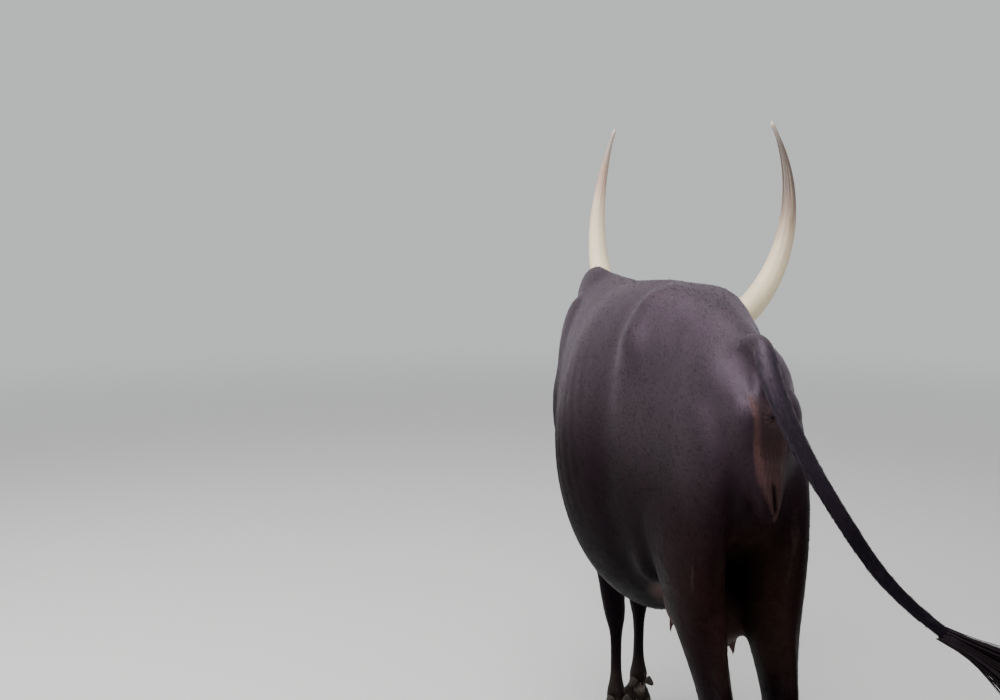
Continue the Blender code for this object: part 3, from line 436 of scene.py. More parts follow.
def add_hind_leg(bm, side):
    """A back leg from the hip to the coronet, with its hock."""
    foot = HIND_FOOT_CENTRE.y
    out = HIND_FOOT_OUT
    rows = (
        (0.062, 0.46, 1.22, 0.026, 0.07, 0.08), (0.072, 0.47, 1.14, 0.050, 0.14, 0.17),
        (0.076, 0.46, 1.00, 0.049, 0.20, 0.238), (0.080, 0.46, 0.89, 0.057, 0.21, 0.224),
        (0.079, 0.485, 0.80, 0.056, 0.195, 0.180), (0.074, 0.53, 0.72, 0.048, 0.150, 0.124),
        (0.068, 0.582, 0.645, 0.039, 0.100, 0.080), (0.063, 0.622, 0.58, 0.033, 0.064, 0.064),
        (0.061, 0.640, 0.525, 0.032, 0.047, 0.048), (0.062, 0.634, 0.46, 0.0275, 0.034, 0.037),
        (0.066, 0.618, 0.35, 0.0200, 0.024, 0.028), (0.070, foot + 0.04, 0.19, 0.0210, 0.025, 0.029),
        (out, foot + 0.034, 0.128, 0.031, 0.032, 0.036), (out, foot + 0.014, 0.09, 0.027, 0.028, 0.032),
        (out, foot - 0.006, 0.055, 0.042, 0.044, 0.046), (out, foot - 0.014, 0.028, 0.043, 0.046, 0.048),
    )
    add_limb(bm, hind_stations(side, rows), level=True)
    rows = (
        (0.061, 0.655, 0.49, 0.019, 0.020, 0.020), (0.060, 0.686, 0.572, 0.018, 0.022, 0.022),
        (0.066, 0.674, 0.65, 0.015, 0.021, 0.021), (0.066, 0.64, 0.74, 0.022, 0.028, 0.028),
        (0.068, 0.60, 0.84, 0.020, 0.028, 0.028), (0.066, 0.57, 0.92, 0.010, 0.012, 0.012),
    )
    add_limb(bm, hind_stations(side, rows))
    add_ball(bm, Vector((side * 0.098, 0.275, 0.80)), (0.044, 0.085, 0.10))


def add_neck(bm, start=0.0):
    """The neck, bent to the right, and the thin fold under it, from a share of its length on."""
    stations = (
        (CHEST_SHIFT, -0.50, 1.03, 0.115, 0.28, 0.26), (0.028, -0.66, 1.045, 0.105, 0.245, 0.245),
        (-0.030, -0.79, 1.05, 0.092, 0.195, 0.195), (-0.125, -0.895, 1.05, 0.080, 0.155, 0.155),
        (-0.220, -0.975, 1.045, 0.076, 0.130, 0.130), (-0.292, -1.035, 1.04, 0.073, 0.112, 0.115),
    )
    rows = through(stations, NECK_RINGS)
    last = NECK_RINGS - 1
    rings = []
    fold = []
    for index, row in enumerate(rows):
        ahead = Vector(rows[min(index + 1, last)][:3])
        behind = Vector(rows[max(index - 1, 0)][:3])
        tangent = (ahead - behind).normalized()
        side = tangent.cross(UP).normalized()
        up = side.cross(tangent)
        centre = Vector(row[:3])
        rings.append(oval(centre, side, up, row[3], row[4], row[5], 2.1, NECK_SIDES))
        hang = 0.05 * math.sin(math.pi * min(1.0, 0.12 + index / last)) ** 0.6
        low = centre - up * (row[5] - 0.03)
        fold.append(oval(low, side, up, 0.022, 0.05, 0.04 + hang, 2.0, LIMB_SIDES, 1.6))
    first = int(last * start)
    add_loft(bm, rings[first:])
    add_loft(bm, fold[max(first, int(last * 0.08)):])


def add_skull(bm):
    """The skull and muzzle, lofted from the poll to the nose, with cheeks and brows."""
    wide = FOREHEAD_HALF_WIDTH
    nose = MUZZLE_HALF_WIDTH
    stations = (
        (-0.025, wide * 0.62, -0.030, -0.120, 2.2), (0.015, wide * 0.90, 0.000, -0.170, 2.6),
        (0.075, wide, 0.005, -0.205, 2.8), (0.145, wide * 0.97, 0.001, -0.222, 2.8),
        (0.215, wide * 0.79, -0.006, -0.204, 2.5), (0.290, nose * 1.02, -0.011, -0.174, 2.3),
        (0.365, nose * 0.92, -0.013, -0.146, 2.3), (0.420, nose * 0.99, -0.013, -0.130, 2.4),
        (0.460, nose * 1.12, -0.017, -0.118, 2.6), (HEAD_LENGTH - 0.016, nose * 1.04, -0.029, -0.106, 2.6),
        (HEAD_LENGTH, nose * 0.74, -0.045, -0.092, 2.4),
    )
    rings = []
    for forward, half_width, top, bottom, power in through(stations, SKULL_RINGS):
        level = blend(bottom, top, 0.56)
        centre = head_point(0, forward, level)
        rings.append(oval(centre, HEAD_LEFT, HEAD_UP, half_width, top - level, level - bottom,
                          power, SKULL_SIDES, 1.9))
    add_loft(bm, rings)
    add_ball(bm, head_point(0, 0.446, -0.108), (0.036, 0.040, 0.018), HEAD_TURN)
    add_ball(bm, head_point(0, -0.005, -0.004), (0.075, 0.035, 0.022), HEAD_TURN)
    for side in (1, -1):
        add_ball(bm, head_point(side * 0.064, 0.125, -0.135), (0.027, 0.085, 0.075), HEAD_TURN)
        add_ball(bm, head_point(side * 0.066, 0.132, -0.019), (0.034, 0.060, 0.016), HEAD_TURN)
        add_ball(bm, head_point(side * 0.055, 0.245, -0.080), (0.017, 0.090, 0.016), HEAD_TURN)
        add_ball(bm, head_point(side * 0.036, 0.466, -0.047), (0.026, 0.026, 0.022), HEAD_TURN)
        for place, rows in ((HORN_PLACE, ((0.045, 0.050), (0.070, 0.052), (0.100, 0.050))),
                            (EAR_PLACE, ((0.050, 0.034), (0.080, 0.034), (0.112, 0.026)))):
            base = []
            for along, radius in rows:
                centre = head_point(side * along, *place)
                base.append(oval(centre, HEAD_FORWARD, HEAD_UP, radius, radius, radius, 2.0, LIMB_SIDES))
            add_loft(bm, base)


def eye_axis(side):
    """The direction an eye looks in."""
    return (HEAD_LEFT * side * 0.93 + HEAD_FORWARD * 0.30 + HEAD_UP * 0.16).normalized()


def eye_frame(side):
    """Directions along the eye's opening, towards the nose, and over it, towards the brow."""
    axis = eye_axis(side)
    along = (HEAD_FORWARD - axis * HEAD_FORWARD.dot(axis)).normalized()
    over = axis.cross(along)
    if over.dot(HEAD_UP) < 0:
        over = -over
    return along, over


def lid_loop(side, grow, rise, count=64):
    """Points round the almond-shaped opening of an eye, a little proud of the ball."""
    axis = eye_axis(side)
    along, over = eye_frame(side)
    points = []
    for step in range(count):
        angle = 2.0 * math.pi * step / count
        reach = along * math.cos(angle) * 0.0225 * grow
        pinch = 1.0 - 0.18 * math.cos(angle) ** 2
        reach = reach + over * math.sin(angle) * 0.0155 * grow * pinch
        depth = math.sqrt(max((EYE_RADIUS * rise) ** 2 - reach.length_squared, 0.0))
        points.append(eye_centre(side) + reach + axis * depth)
    return points


def add_ring(bm, loop, axis, half_out, half_axis, half_in):
    """A closed rim round a loop of points."""
    count = len(loop)
    sides = 12
    layers = []
    for index, point in enumerate(loop):
        tangent = (loop[(index + 1) % count] - loop[index - 1]).normalized()
        outward = tangent.cross(axis).normalized()
        ring = oval(point, outward, axis, half_out, half_axis, half_in, 2.0, sides)
        layers.append([bm.verts.new(corner) for corner in ring])
    for index, layer in enumerate(layers):
        after = layers[(index + 1) % count]
        for step in range(sides):
            next_step = (step + 1) % sides
            bm.faces.new((layer[step], layer[next_step], after[next_step], after[step]))


def ear_seat(side):
    """Where an ear meets the head, and the direction it grows in."""
    axis = (HEAD_LEFT * side * 0.90 - HEAD_FORWARD * 0.22 - HEAD_UP * 0.34).normalized()
    return head_point(side * 0.103, *EAR_PLACE), axis


def ear_frame(side):
    """The ear's axis, the way its cup opens, and the direction across it."""
    axis = ear_seat(side)[1]
    facing = HEAD_UP * 0.85 + HEAD_FORWARD * 0.45
    opening = (facing - axis * facing.dot(axis)).normalized()
    return axis, opening, axis.cross(opening)


def add_ear(bm, side):
    """One leaf-shaped ear, a hollow cup that opens forwards and down, sunk into the head."""
    seat = ear_seat(side)[0]
    axis, opening, across = ear_frame(side)
    half = 17
    steps = 30
    rings = []
    for step in range(-2, steps):
        share = max(step, 0) / (steps - 1)
        along = EAR_LENGTH * step / (steps - 1)
        spread = math.sin(math.pi * min(share * 0.86 + 0.13, 1.0)) ** 0.8
        half_width = EAR_HALF_WIDTH * max(spread, 0.06)
        depth = half_width * blend(0.85, 0.42, share)
        hollow = ease(share, 0.03, 0.30)
        droop = -0.03 * share * share
        centre = seat + axis * along + Vector((0, 0, droop))
        outer = []
        inner = []
        for place in range(half):
            turn = math.pi * place / (half - 1)
            left = math.cos(turn)
            back = math.sin(turn)
            outer.append(centre + across * half_width * left - opening * depth * back)
            wall = min(EAR_WALL, half_width * 0.45)
            cup = depth * back - wall
            flat = -depth * 0.35 * back
            reach = blend(flat, max(cup, 0.0), hollow)
            inner.append(centre + across * (half_width - wall * hollow * 0.8) * left - opening * reach)
        rings.append(outer + inner[-2:0:-1])
    add_loft(bm, rings)


TAIL_POINTS = (
    (0.006, 0.620, 1.262), (0.010, 0.690, 1.264), (0.008, 0.756, 1.198), (-0.018, 0.798, 1.116),
    (-0.055, 0.830, 1.040), (-0.122, 0.868, 0.928), (-0.180, 0.888, 0.862), (-0.248, 0.905, 0.806),
)


TAIL_STEPS = 80
TAIL_MARKS = 60


def tail_rows(count):
    """Centres and radii along the tail, thick at its root."""
    stations = []
    for index, point in enumerate(TAIL_POINTS):
        share = index / (len(TAIL_POINTS) - 1)
        stations.append((*point, blend(TAIL_ROOT_RADIUS, TAIL_END_RADIUS, share ** 0.6)))
    return through(stations, count)


def add_tail(bm, share):
    """The tail, from its root over the rump to a share of its length."""
    rows = tail_rows(TAIL_STEPS + 1)[:int(TAIL_STEPS * share) + 1]
    radii = [row[3] for row in rows]
    sweep(bm, [Vector(row[:3]) for row in rows], radii, radii, Vector((1, 0.3, 0)), 24)


# The skin, one surface over the whole body
def head_plane():
    """The point behind the jaw where the head is parted from the neck."""
    return head_point(0, 0.035, -0.150)


def head_run():
    """The direction from the neck into the head."""
    return (HEAD_OUT * 0.93 - Vector((0, 0, 0.36))).normalized()


SEAM_BACK = 0.10
SEAM_FLOOR = 0.55
SEAM_BLEND = 0.06
SEAM_BAND = 0.030
SEAM_ROUNDS = 14
CUT_TOLERANCE = 1e-6


def body_skin():
    """The trunk, legs, neck, skull and tail as one form."""
    bm = bmesh.new()
    add_trunk(bm)
    add_trunk_forms(bm)
    add_udder(bm)
    add_neck(bm)
    add_dewlap(bm)
    add_skull(bm)
    for side in (1, -1):
        add_fore_leg(bm, side)
        add_hind_leg(bm, side)
    add_tail(bm, 0.31)
    rough = joined_form(bm, "body_form", BODY_VOXEL, BODY_SMOOTHING, TRUNK_SMOOTHING)
    bm = worked(rough.data)
    discard(rough)
    add_tail(bm, 1.0)
    return joined_form(bm, "body_skin", BODY_VOXEL, 3)


def nostril_tool(side):
    """A comma-shaped hollow for one nostril."""
    bm = bmesh.new()
    steps = 9
    points = []
    radii = []
    for step in range(steps):
        share = step / (steps - 1)
        turn = blend(-0.5, 1.9, share)
        left = 0.0385 + 0.0125 * math.cos(turn)
        up = -0.046 + 0.0115 * math.sin(turn)
        points.append(head_point(side * left, HEAD_LENGTH + 0.004 - 0.010 * share, up))
        radii.append(blend(0.0085, 0.0035, share))
    sweep(bm, points, radii, [radius * 1.8 for radius in radii], HEAD_FORWARD, 14)
    return scratch_object(bm, "nostril")


def head_skin():
    """The head and the neck behind it, fine enough for lids, lips and nostrils."""
    bm = bmesh.new()
    add_skull(bm)
    add_neck(bm, 0.5)
    add_dewlap(bm)
    rough = joined_form(bm, "head_form", HEAD_VOXEL * 1.25, 11)
    bm = worked(rough.data)
    discard(rough)
    for side in (1, -1):
        add_ear(bm, side)
        add_ring(bm, lid_loop(side, 1.16, 1.24), eye_axis(side), 0.0062, 0.0046, 0.016)
    fine = joined_form(bm, "head_skin", HEAD_VOXEL, 2)
    for side in (1, -1):
        ball = bmesh.new()
        shape = Matrix.Translation(eye_centre(side))
        bmesh.ops.create_icosphere(ball, subdivisions=5, radius=EYE_RADIUS - 0.0004, matrix=shape)
        cut_with(fine, scratch_object(ball, "socket"))
        cut_with(fine, nostril_tool(side))
    bm = worked(fine.data)
    discard(fine)
    return joined_form(bm, "head_skin", HEAD_VOXEL, 2)


def with_edges(faces):
    """Faces, their edges and their corners, always in the same order."""
    edges = dict.fromkeys(edge for face in faces for edge in face.edges)
    corners = dict.fromkeys(vert for face in faces for vert in face.verts)
    return [*faces, *edges, *corners]


def opened(item, offset, keep_head):
    """A working mesh cut open across the neck, and the loop of its edge."""
    bm = worked(item.data)
    run = head_run()
    point = head_plane() - run * (SEAM_BACK - offset)
    faces = [face for face in bm.faces if face.calc_center_median().z > SEAM_FLOOR]
    bmesh.ops.bisect_plane(bm, geom=with_edges(faces), dist=CUT_TOLERANCE, plane_co=point, plane_no=run,
                           clear_inner=keep_head, clear_outer=not keep_head)
    return bm


def open_corners(bm):
    """The corners along a mesh's open edges, always in the same order."""
    rims = [edge for edge in bm.edges if len(edge.link_faces) == 1]
    return dict.fromkeys(vert for edge in rims for vert in edge.verts)


def round_neck(corners, side, up):
    """Corners sorted by their angle round their own middle."""
    middle = sum((vert.co for vert in corners), Vector((0, 0, 0))) / len(corners)
    keyed = []
    for vert in corners:
        reach = vert.co - middle
        keyed.append((math.atan2(reach.dot(up), reach.dot(side)), vert.index, vert))
    keyed.sort(key=lambda item: item[:2])
    return keyed


def join_at_neck(body, head):
    """One skin from the body and the finer head, sewn together behind the jaw."""
    run = head_run()
    point = head_plane() - run * SEAM_BACK
    tree = BVHTree.FromObject(body, bpy.context.evaluated_depsgraph_get())
    mesh = head.data
    for vert in mesh.vertices:
        ahead = (vert.co - point).dot(run)
        if ahead < SEAM_BLEND:
            near = tree.find_nearest(vert.co)[0]
            vert.co = vert.co.lerp(near, 1.0 - ease(ahead, 0.004, SEAM_BLEND))
    side = run.cross(UP).normalized()
    up = side.cross(run)
    upper = opened(head, 0.003, True)
    scratch = bpy.data.meshes.new("upper")
    upper.to_mesh(scratch)
    upper.free()
    lower = opened(body, -0.003, False)
    body_rim = open_corners(lower)
    lower.from_mesh(scratch)
    bpy.data.meshes.remove(scratch)
    lower.verts.index_update()
    head_rim = [vert for vert in open_corners(lower) if vert not in body_rim]
    sew(lower, round_neck(body_rim, side, up), round_neck(head_rim, side, up))
    bmesh.ops.recalc_face_normals(lower, faces=lower.faces)
    seam = [vert for vert in lower.verts if abs((vert.co - point).dot(run)) < SEAM_BAND]
    for _ in range(SEAM_ROUNDS):
        bmesh.ops.smooth_vert(lower, verts=seam, factor=0.5,
                              use_axis_x=True, use_axis_y=True, use_axis_z=True)
    made = bpy.data.meshes.new("skin")
    lower.to_mesh(made)
    lower.free()
    discard(body)
    discard(head)
    return made


def sew(bm, first, second):
    """Triangles between two closed rims, both sorted by their angle."""
    turn = 2.0 * math.pi
    start = min(range(len(second)), key=lambda place: abs(second[place][0] - first[0][0]))
    low = [(item[0], item[2]) for item in first]
    high = [(item[0], item[2]) for item in second[start:]]
    high += [(item[0] + turn, item[2]) for item in second[:start]]
    low.append((low[0][0] + turn, low[0][1]))
    high.append((high[0][0] + turn, high[0][1]))
    i = 0
    j = 0
    while i < len(low) - 1 or j < len(high) - 1:
        step_low = j == len(high) - 1 or (i < len(low) - 1 and low[i + 1][0] < high[j + 1][0])
        if step_low:
            bm.faces.new((low[i][1], low[i + 1][1], high[j][1]))
            i += 1
        else:
            bm.faces.new((low[i][1], high[j + 1][1], high[j][1]))
            j += 1


def points_of(mesh):
    """A mesh's corners and their normals, as arrays."""
    count = len(mesh.vertices)
    places = np.empty(count * 3, dtype=np.float32)
    normals = np.empty(count * 3, dtype=np.float32)
    mesh.vertices.foreach_get("co", places)
    mesh.vertex_normals.foreach_get("vector", normals)
    return places.reshape(-1, 3).astype(float), normals.reshape(-1, 3).astype(float)


def set_points(mesh, places):
    """Move a mesh's corners to new places."""
    mesh.vertices.foreach_set("co", places.astype(np.float32).ravel())
    mesh.update()


# Masks over the body, in its own frame
def rise(values, low, high):
    """The smooth step of ease, over an array."""
    share = np.clip((values - low) / (high - low), 0.0, 1.0)
    return share * share * (3.0 - 2.0 * share)


def hill(values, middle, width):
    """1 at the middle of a range, falling away to both sides."""
    return np.exp(-((values - middle) / width) ** 2)


def mottle(places, scale, seed):
    """Smooth uneven values between about -1 and 1, with spots of about 1/scale metres."""
    draw = np.random.default_rng(seed)
    waves = draw.normal(size=(3, 9))
    waves *= scale * 3.0 / np.linalg.norm(waves, axis=0) * draw.uniform(0.6, 1.7, 9)
    turns = draw.uniform(0.0, 2.0 * math.pi, 9)
    bent = places + 0.12 / scale * np.sin(places[:, [1, 2, 0]] * scale * 2.3)
    return np.sin(bent @ waves + turns).mean(axis=1) * 1.9


def on_head(places):
    """Places as left, forward and up from the poll."""
    return (places - np.array(POLL)) @ np.array((HEAD_LEFT, HEAD_FORWARD, HEAD_UP)).T


def near_line(places, line):
    """The distance of each place from a row of points, and the nearest point's index."""
    best = np.full(len(places), 9.0)
    index = np.zeros(len(places), dtype=int)
    for step, point in enumerate(line):
        reach = np.linalg.norm(places - point, axis=1)
        closer = reach < best
        best[closer] = reach[closer]
        index[closer] = step
    return best, index


def ear_places(places, side):
    """Places as along, across and towards the opening of an ear."""
    axis, opening, across = ear_frame(side)
    return (places - np.array(ear_seat(side)[0])) @ np.array((axis, across, opening)).T


def masks_of(places, normals):
    """Where each part of the body lies, each mask from 0 to 1."""
    x, y, z = places.T
    high = (z > SEAM_FLOOR).astype(float)
    ahead = (places - np.array(head_plane())) @ np.array(head_run())
    head = rise(ahead, -0.05, 0.01) * high
    neck = rise((places - NECK_POINT) @ NECK_RUN, -0.06, 0.06) * high * (1.0 - head)
    ears = np.zeros(len(places))
    cups = np.zeros(len(places))
    for side in (1, -1):
        along, across, open_way = ear_places(places, side).T
        ear = rise(along, 0.004, 0.022) * (along < 0.22) * (np.abs(across) < 0.07)
        ear = ear * (np.abs(open_way) < 0.05) * head
        facing = rise(normals @ np.array(ear_frame(side)[1]), 0.15, 0.45)
        ears = np.maximum(ears, ear)
        cups = np.maximum(cups, ear * facing)
    rows = np.array(tail_rows(TAIL_MARKS))
    reach, index = near_line(places, rows[:, :3])
    tail = 1.0 - rise(reach - rows[index, 3], 0.004, 0.014)
    tail *= rise(index / (TAIL_MARKS - 1.0), 0.12, 0.20)
    legs = (1.0 - rise(z, 0.52, 0.74)) * (1.0 - tail)
    udder = (1.0 - rise(np.abs(x), 0.070, 0.095)) * (1.0 - rise(z, 0.69, 0.75))
    udder *= rise(y, 0.18, 0.24) * (1.0 - rise(y, 0.48, 0.52)) * (z > 0.50)
    return {"head": head, "neck": neck, "ears": ears, "cups": cups, "tail": tail, "legs": legs,
            "udder": udder, "tail_index": index}


def eye_places(places, side):
    """Places as along, over and out from an eye's middle."""
    along, over = eye_frame(side)
    return (places - np.array(eye_centre(side))) @ np.array((along, over, eye_axis(side))).T


# Colours of the coat and the bare skin
# Painted light: a lighter tone where the skin faces up on the back, standing in for the light from above
COAT_PAINTED_TOP_LIGHT = (0.0205, 0.0120, 0.0170)
COAT_MIDDLE = (0.0125, 0.0067, 0.0092)
# Painted shade: a darker tone low on the body and legs, standing in for the shade below
COAT_PAINTED_LOW_SHADE = (0.0025, 0.0015, 0.0021)
COAT_RUST = (0.0110, 0.0036, 0.0034)
COAT_TAIL = (0.0088, 0.0068, 0.0105)
STRIP = (0.088, 0.040, 0.033)
BARE = (0.030, 0.0140, 0.0130)
INNER_THIGH = (0.050, 0.027, 0.021)
VULVA = (0.046, 0.0235, 0.0215)
# Painted shade: near black in the vulva's slit, the middle of the anus and the groove of the mouth
PAINTED_CREASE_SHADE = (0.006, 0.003, 0.003)
UDDER = (0.046, 0.027, 0.026)
MUZZLE = (0.0100, 0.0090, 0.0098)
LIP = (0.040, 0.029, 0.027)
CUP = (0.075, 0.046, 0.040)
PALE = (0.26, 0.21, 0.18)
DUST = (0.075, 0.056, 0.046)
MOUTH_UP = -0.081
ANUS_HEIGHT = 1.150
KITE_HEIGHTS = (0.955, 0.995, 1.033, 1.080, 1.135, 1.172)
KITE_HALF_WIDTHS = (0.0, 0.016, 0.025, 0.030, 0.036, 0.040)


def laid(colours, mask, tint):
    """Colours with a tint laid over them where the mask is."""
    share = mask[:, None]
    return colours * (1.0 - share) + np.array(tint) * share


def wide_of(places):
    """How far each place lies from the body's middle."""
    return np.abs(places[:, 0])


def rear_masks(places):
    """The strips beside the tail, the bare skin between them, the vulva, its slit and the anus."""
    x, y, z = places.T
    wide = np.abs(x + 0.010 * (1.0 - rise(z, 0.95, 1.05)))
    edge = np.interp(z, KITE_HEIGHTS, KITE_HALF_WIDTHS)
    behind = rise(y, 0.62, 0.67)
    span = rise(z, 0.955, 0.965) * (1.0 - rise(z, 1.165, 1.195)) * behind
    inside = edge - wide
    strip = rise(inside, -0.003, 0.006) * (1.0 - rise(inside, 0.006, 0.018)) * span * rise(z, 1.00, 1.10)
    strip *= 0.30 + 0.70 * rise(x, -0.02, 0.02)
    bare = rise(inside, -0.002, 0.006) * span
    lips = rise(edge * 0.66 - wide, -0.003, 0.003) * rise(z, 0.958, 0.972) * (1.0 - rise(z, 1.060, 1.085))
    slit = (1.0 - rise(wide, 0.0014, 0.0050)) * rise(z, 0.972, 0.986) * (1.0 - rise(z, 1.018, 1.042))
    ring = np.hypot(x, z - ANUS_HEIGHT)
    return strip, bare, lips * behind, slit * behind, ring, behind


def coat_colours(places, normals, masks):
    """The colour of coat and skin, with painted light on the back and painted shade low down and in the
    slits, and how far each place is bare.
    """
    _, y, z = places.T
    colours = np.tile(np.array(COAT_MIDDLE), (len(places), 1))
    # Painted light: lighter where the upper body faces up
    colours = laid(colours, rise(normals[:, 2], 0.0, 0.9) * rise(z, 0.95, 1.30), COAT_PAINTED_TOP_LIGHT)
    # Painted shade: darker towards the bottom of the body and legs, though not on the head
    colours = laid(colours, (1.0 - rise(z, 0.62, 1.18)) * (1.0 - masks["head"]), COAT_PAINTED_LOW_SHADE)
    rust = hill(z, 0.80, 0.16) * rise(y, 0.42, 0.62) * (1.0 - masks["tail"])
    colours = laid(colours, 0.65 * rust, COAT_RUST)
    colours = laid(colours, 0.85 * masks["tail"], COAT_TAIL)
    shade = 1.0 + 0.16 * mottle(places, 7.0, 3) + 0.10 * mottle(places, 26.0, 4)
    colours *= shade[:, None]
    bare = np.zeros(len(places))
    strip, middle, lips, slit, ring, behind = rear_masks(places)
    off_tail = 1.0 - masks["tail"]
    streaks = 0.80 + 0.14 * mottle(places * np.array((1.0, 1.0, 0.25)), 60.0, 5)
    inner = (1.0 - rise(wide_of(places), 0.030, 0.095)) * rise(y, 0.40, 0.48) * rise(z, 0.60, 0.68)
    patchy = 0.7 + 0.3 * mottle(places * np.array((1.0, 1.0, 0.2)), 30.0, 15)
    inner *= (1.0 - rise(z, 0.86, 0.97)) * off_tail * patchy
    colours = laid(colours, 0.42 * np.clip(inner, 0.0, 1.0), INNER_THIGH)
    # Bare skin, strips and lips, with painted shade in the slit and the middle of the anus
    for mask, tint in ((middle, BARE), (np.clip(strip * streaks, 0.0, 1.0), STRIP), (lips, VULVA),
                       (slit, PAINTED_CREASE_SHADE), ((1.0 - rise(ring, 0.014, 0.021)) * behind, VULVA),
                       ((1.0 - rise(ring, 0.001, 0.006)) * behind, PAINTED_CREASE_SHADE)):
        colours = laid(colours, mask * off_tail, tint)
    bare = np.maximum(bare, np.maximum(middle, lips) * off_tail)
    colours = laid(colours, masks["udder"], UDDER)
    bare = np.maximum(bare, 0.8 * masks["udder"])
    left, forward, up = on_head(places).T
    nose = rise(forward + 0.25 * np.abs(left), 0.452, 0.466) * (up < 0.0) * masks["head"]
    nose *= 1.0 - rise(-up, 0.098, 0.108)
    colours = laid(colours, nose, MUZZLE)
    edge = hill(up, MOUTH_UP, 0.007) * rise(forward, 0.40, 0.43) * masks["head"]
    colours = laid(colours, 0.8 * edge, LIP)
    # Painted shade along the groove of the mouth
    slot = hill(up, MOUTH_UP, 0.0016) * rise(forward, 0.395, 0.405) * masks["head"]
    colours = laid(colours, slot, PAINTED_CREASE_SHADE)
    bare = np.maximum(bare, nose)
    for side in (1, -1):
        along, over, out = eye_places(places, side).T
        rim = (1.0 - rise(np.hypot(along, over * 1.3), 0.024, 0.031)) * (np.abs(out) < 0.04)
        colours = laid(colours, 0.85 * rim, MUZZLE)
        bare = np.maximum(bare, 0.8 * rim)
    colours = laid(colours, 0.8 * masks["cups"], CUP)
    fetlock = hill(z, 0.100, 0.024) * rise(-y, 0.30, 0.40) * rise(normals[:, 1], 0.1, 0.5)
    fetlock *= rise(mottle(places, 34.0, 6), -0.1, 0.15)
    colours = laid(colours, 0.85 * fetlock, PALE)
    marks = rise(mottle(places * np.array((1.0, 1.0, 0.5)), 42.0, 8), 0.55, 0.85)
    colours = laid(colours, 0.20 * marks * hill(z, 0.82, 0.14) * rise(y, 0.50, 0.62) * off_tail, DUST)
    hoof_dust = (1.0 - rise(z, 0.05, 0.30)) * (0.5 + 0.5 * mottle(places, 22.0, 9))
    colours = laid(colours, 0.30 * np.clip(hoof_dust, 0.0, 1.0), DUST)
    return np.clip(colours, 0.0005, 1.0), np.clip(bare, 0.0, 1.0)


# Folds, wrinkles and grooves of the skin
NECK_POINT = np.array((0.030, -0.70, 1.04))
NECK_RUN = np.array((-0.453, -0.886, 0.101))


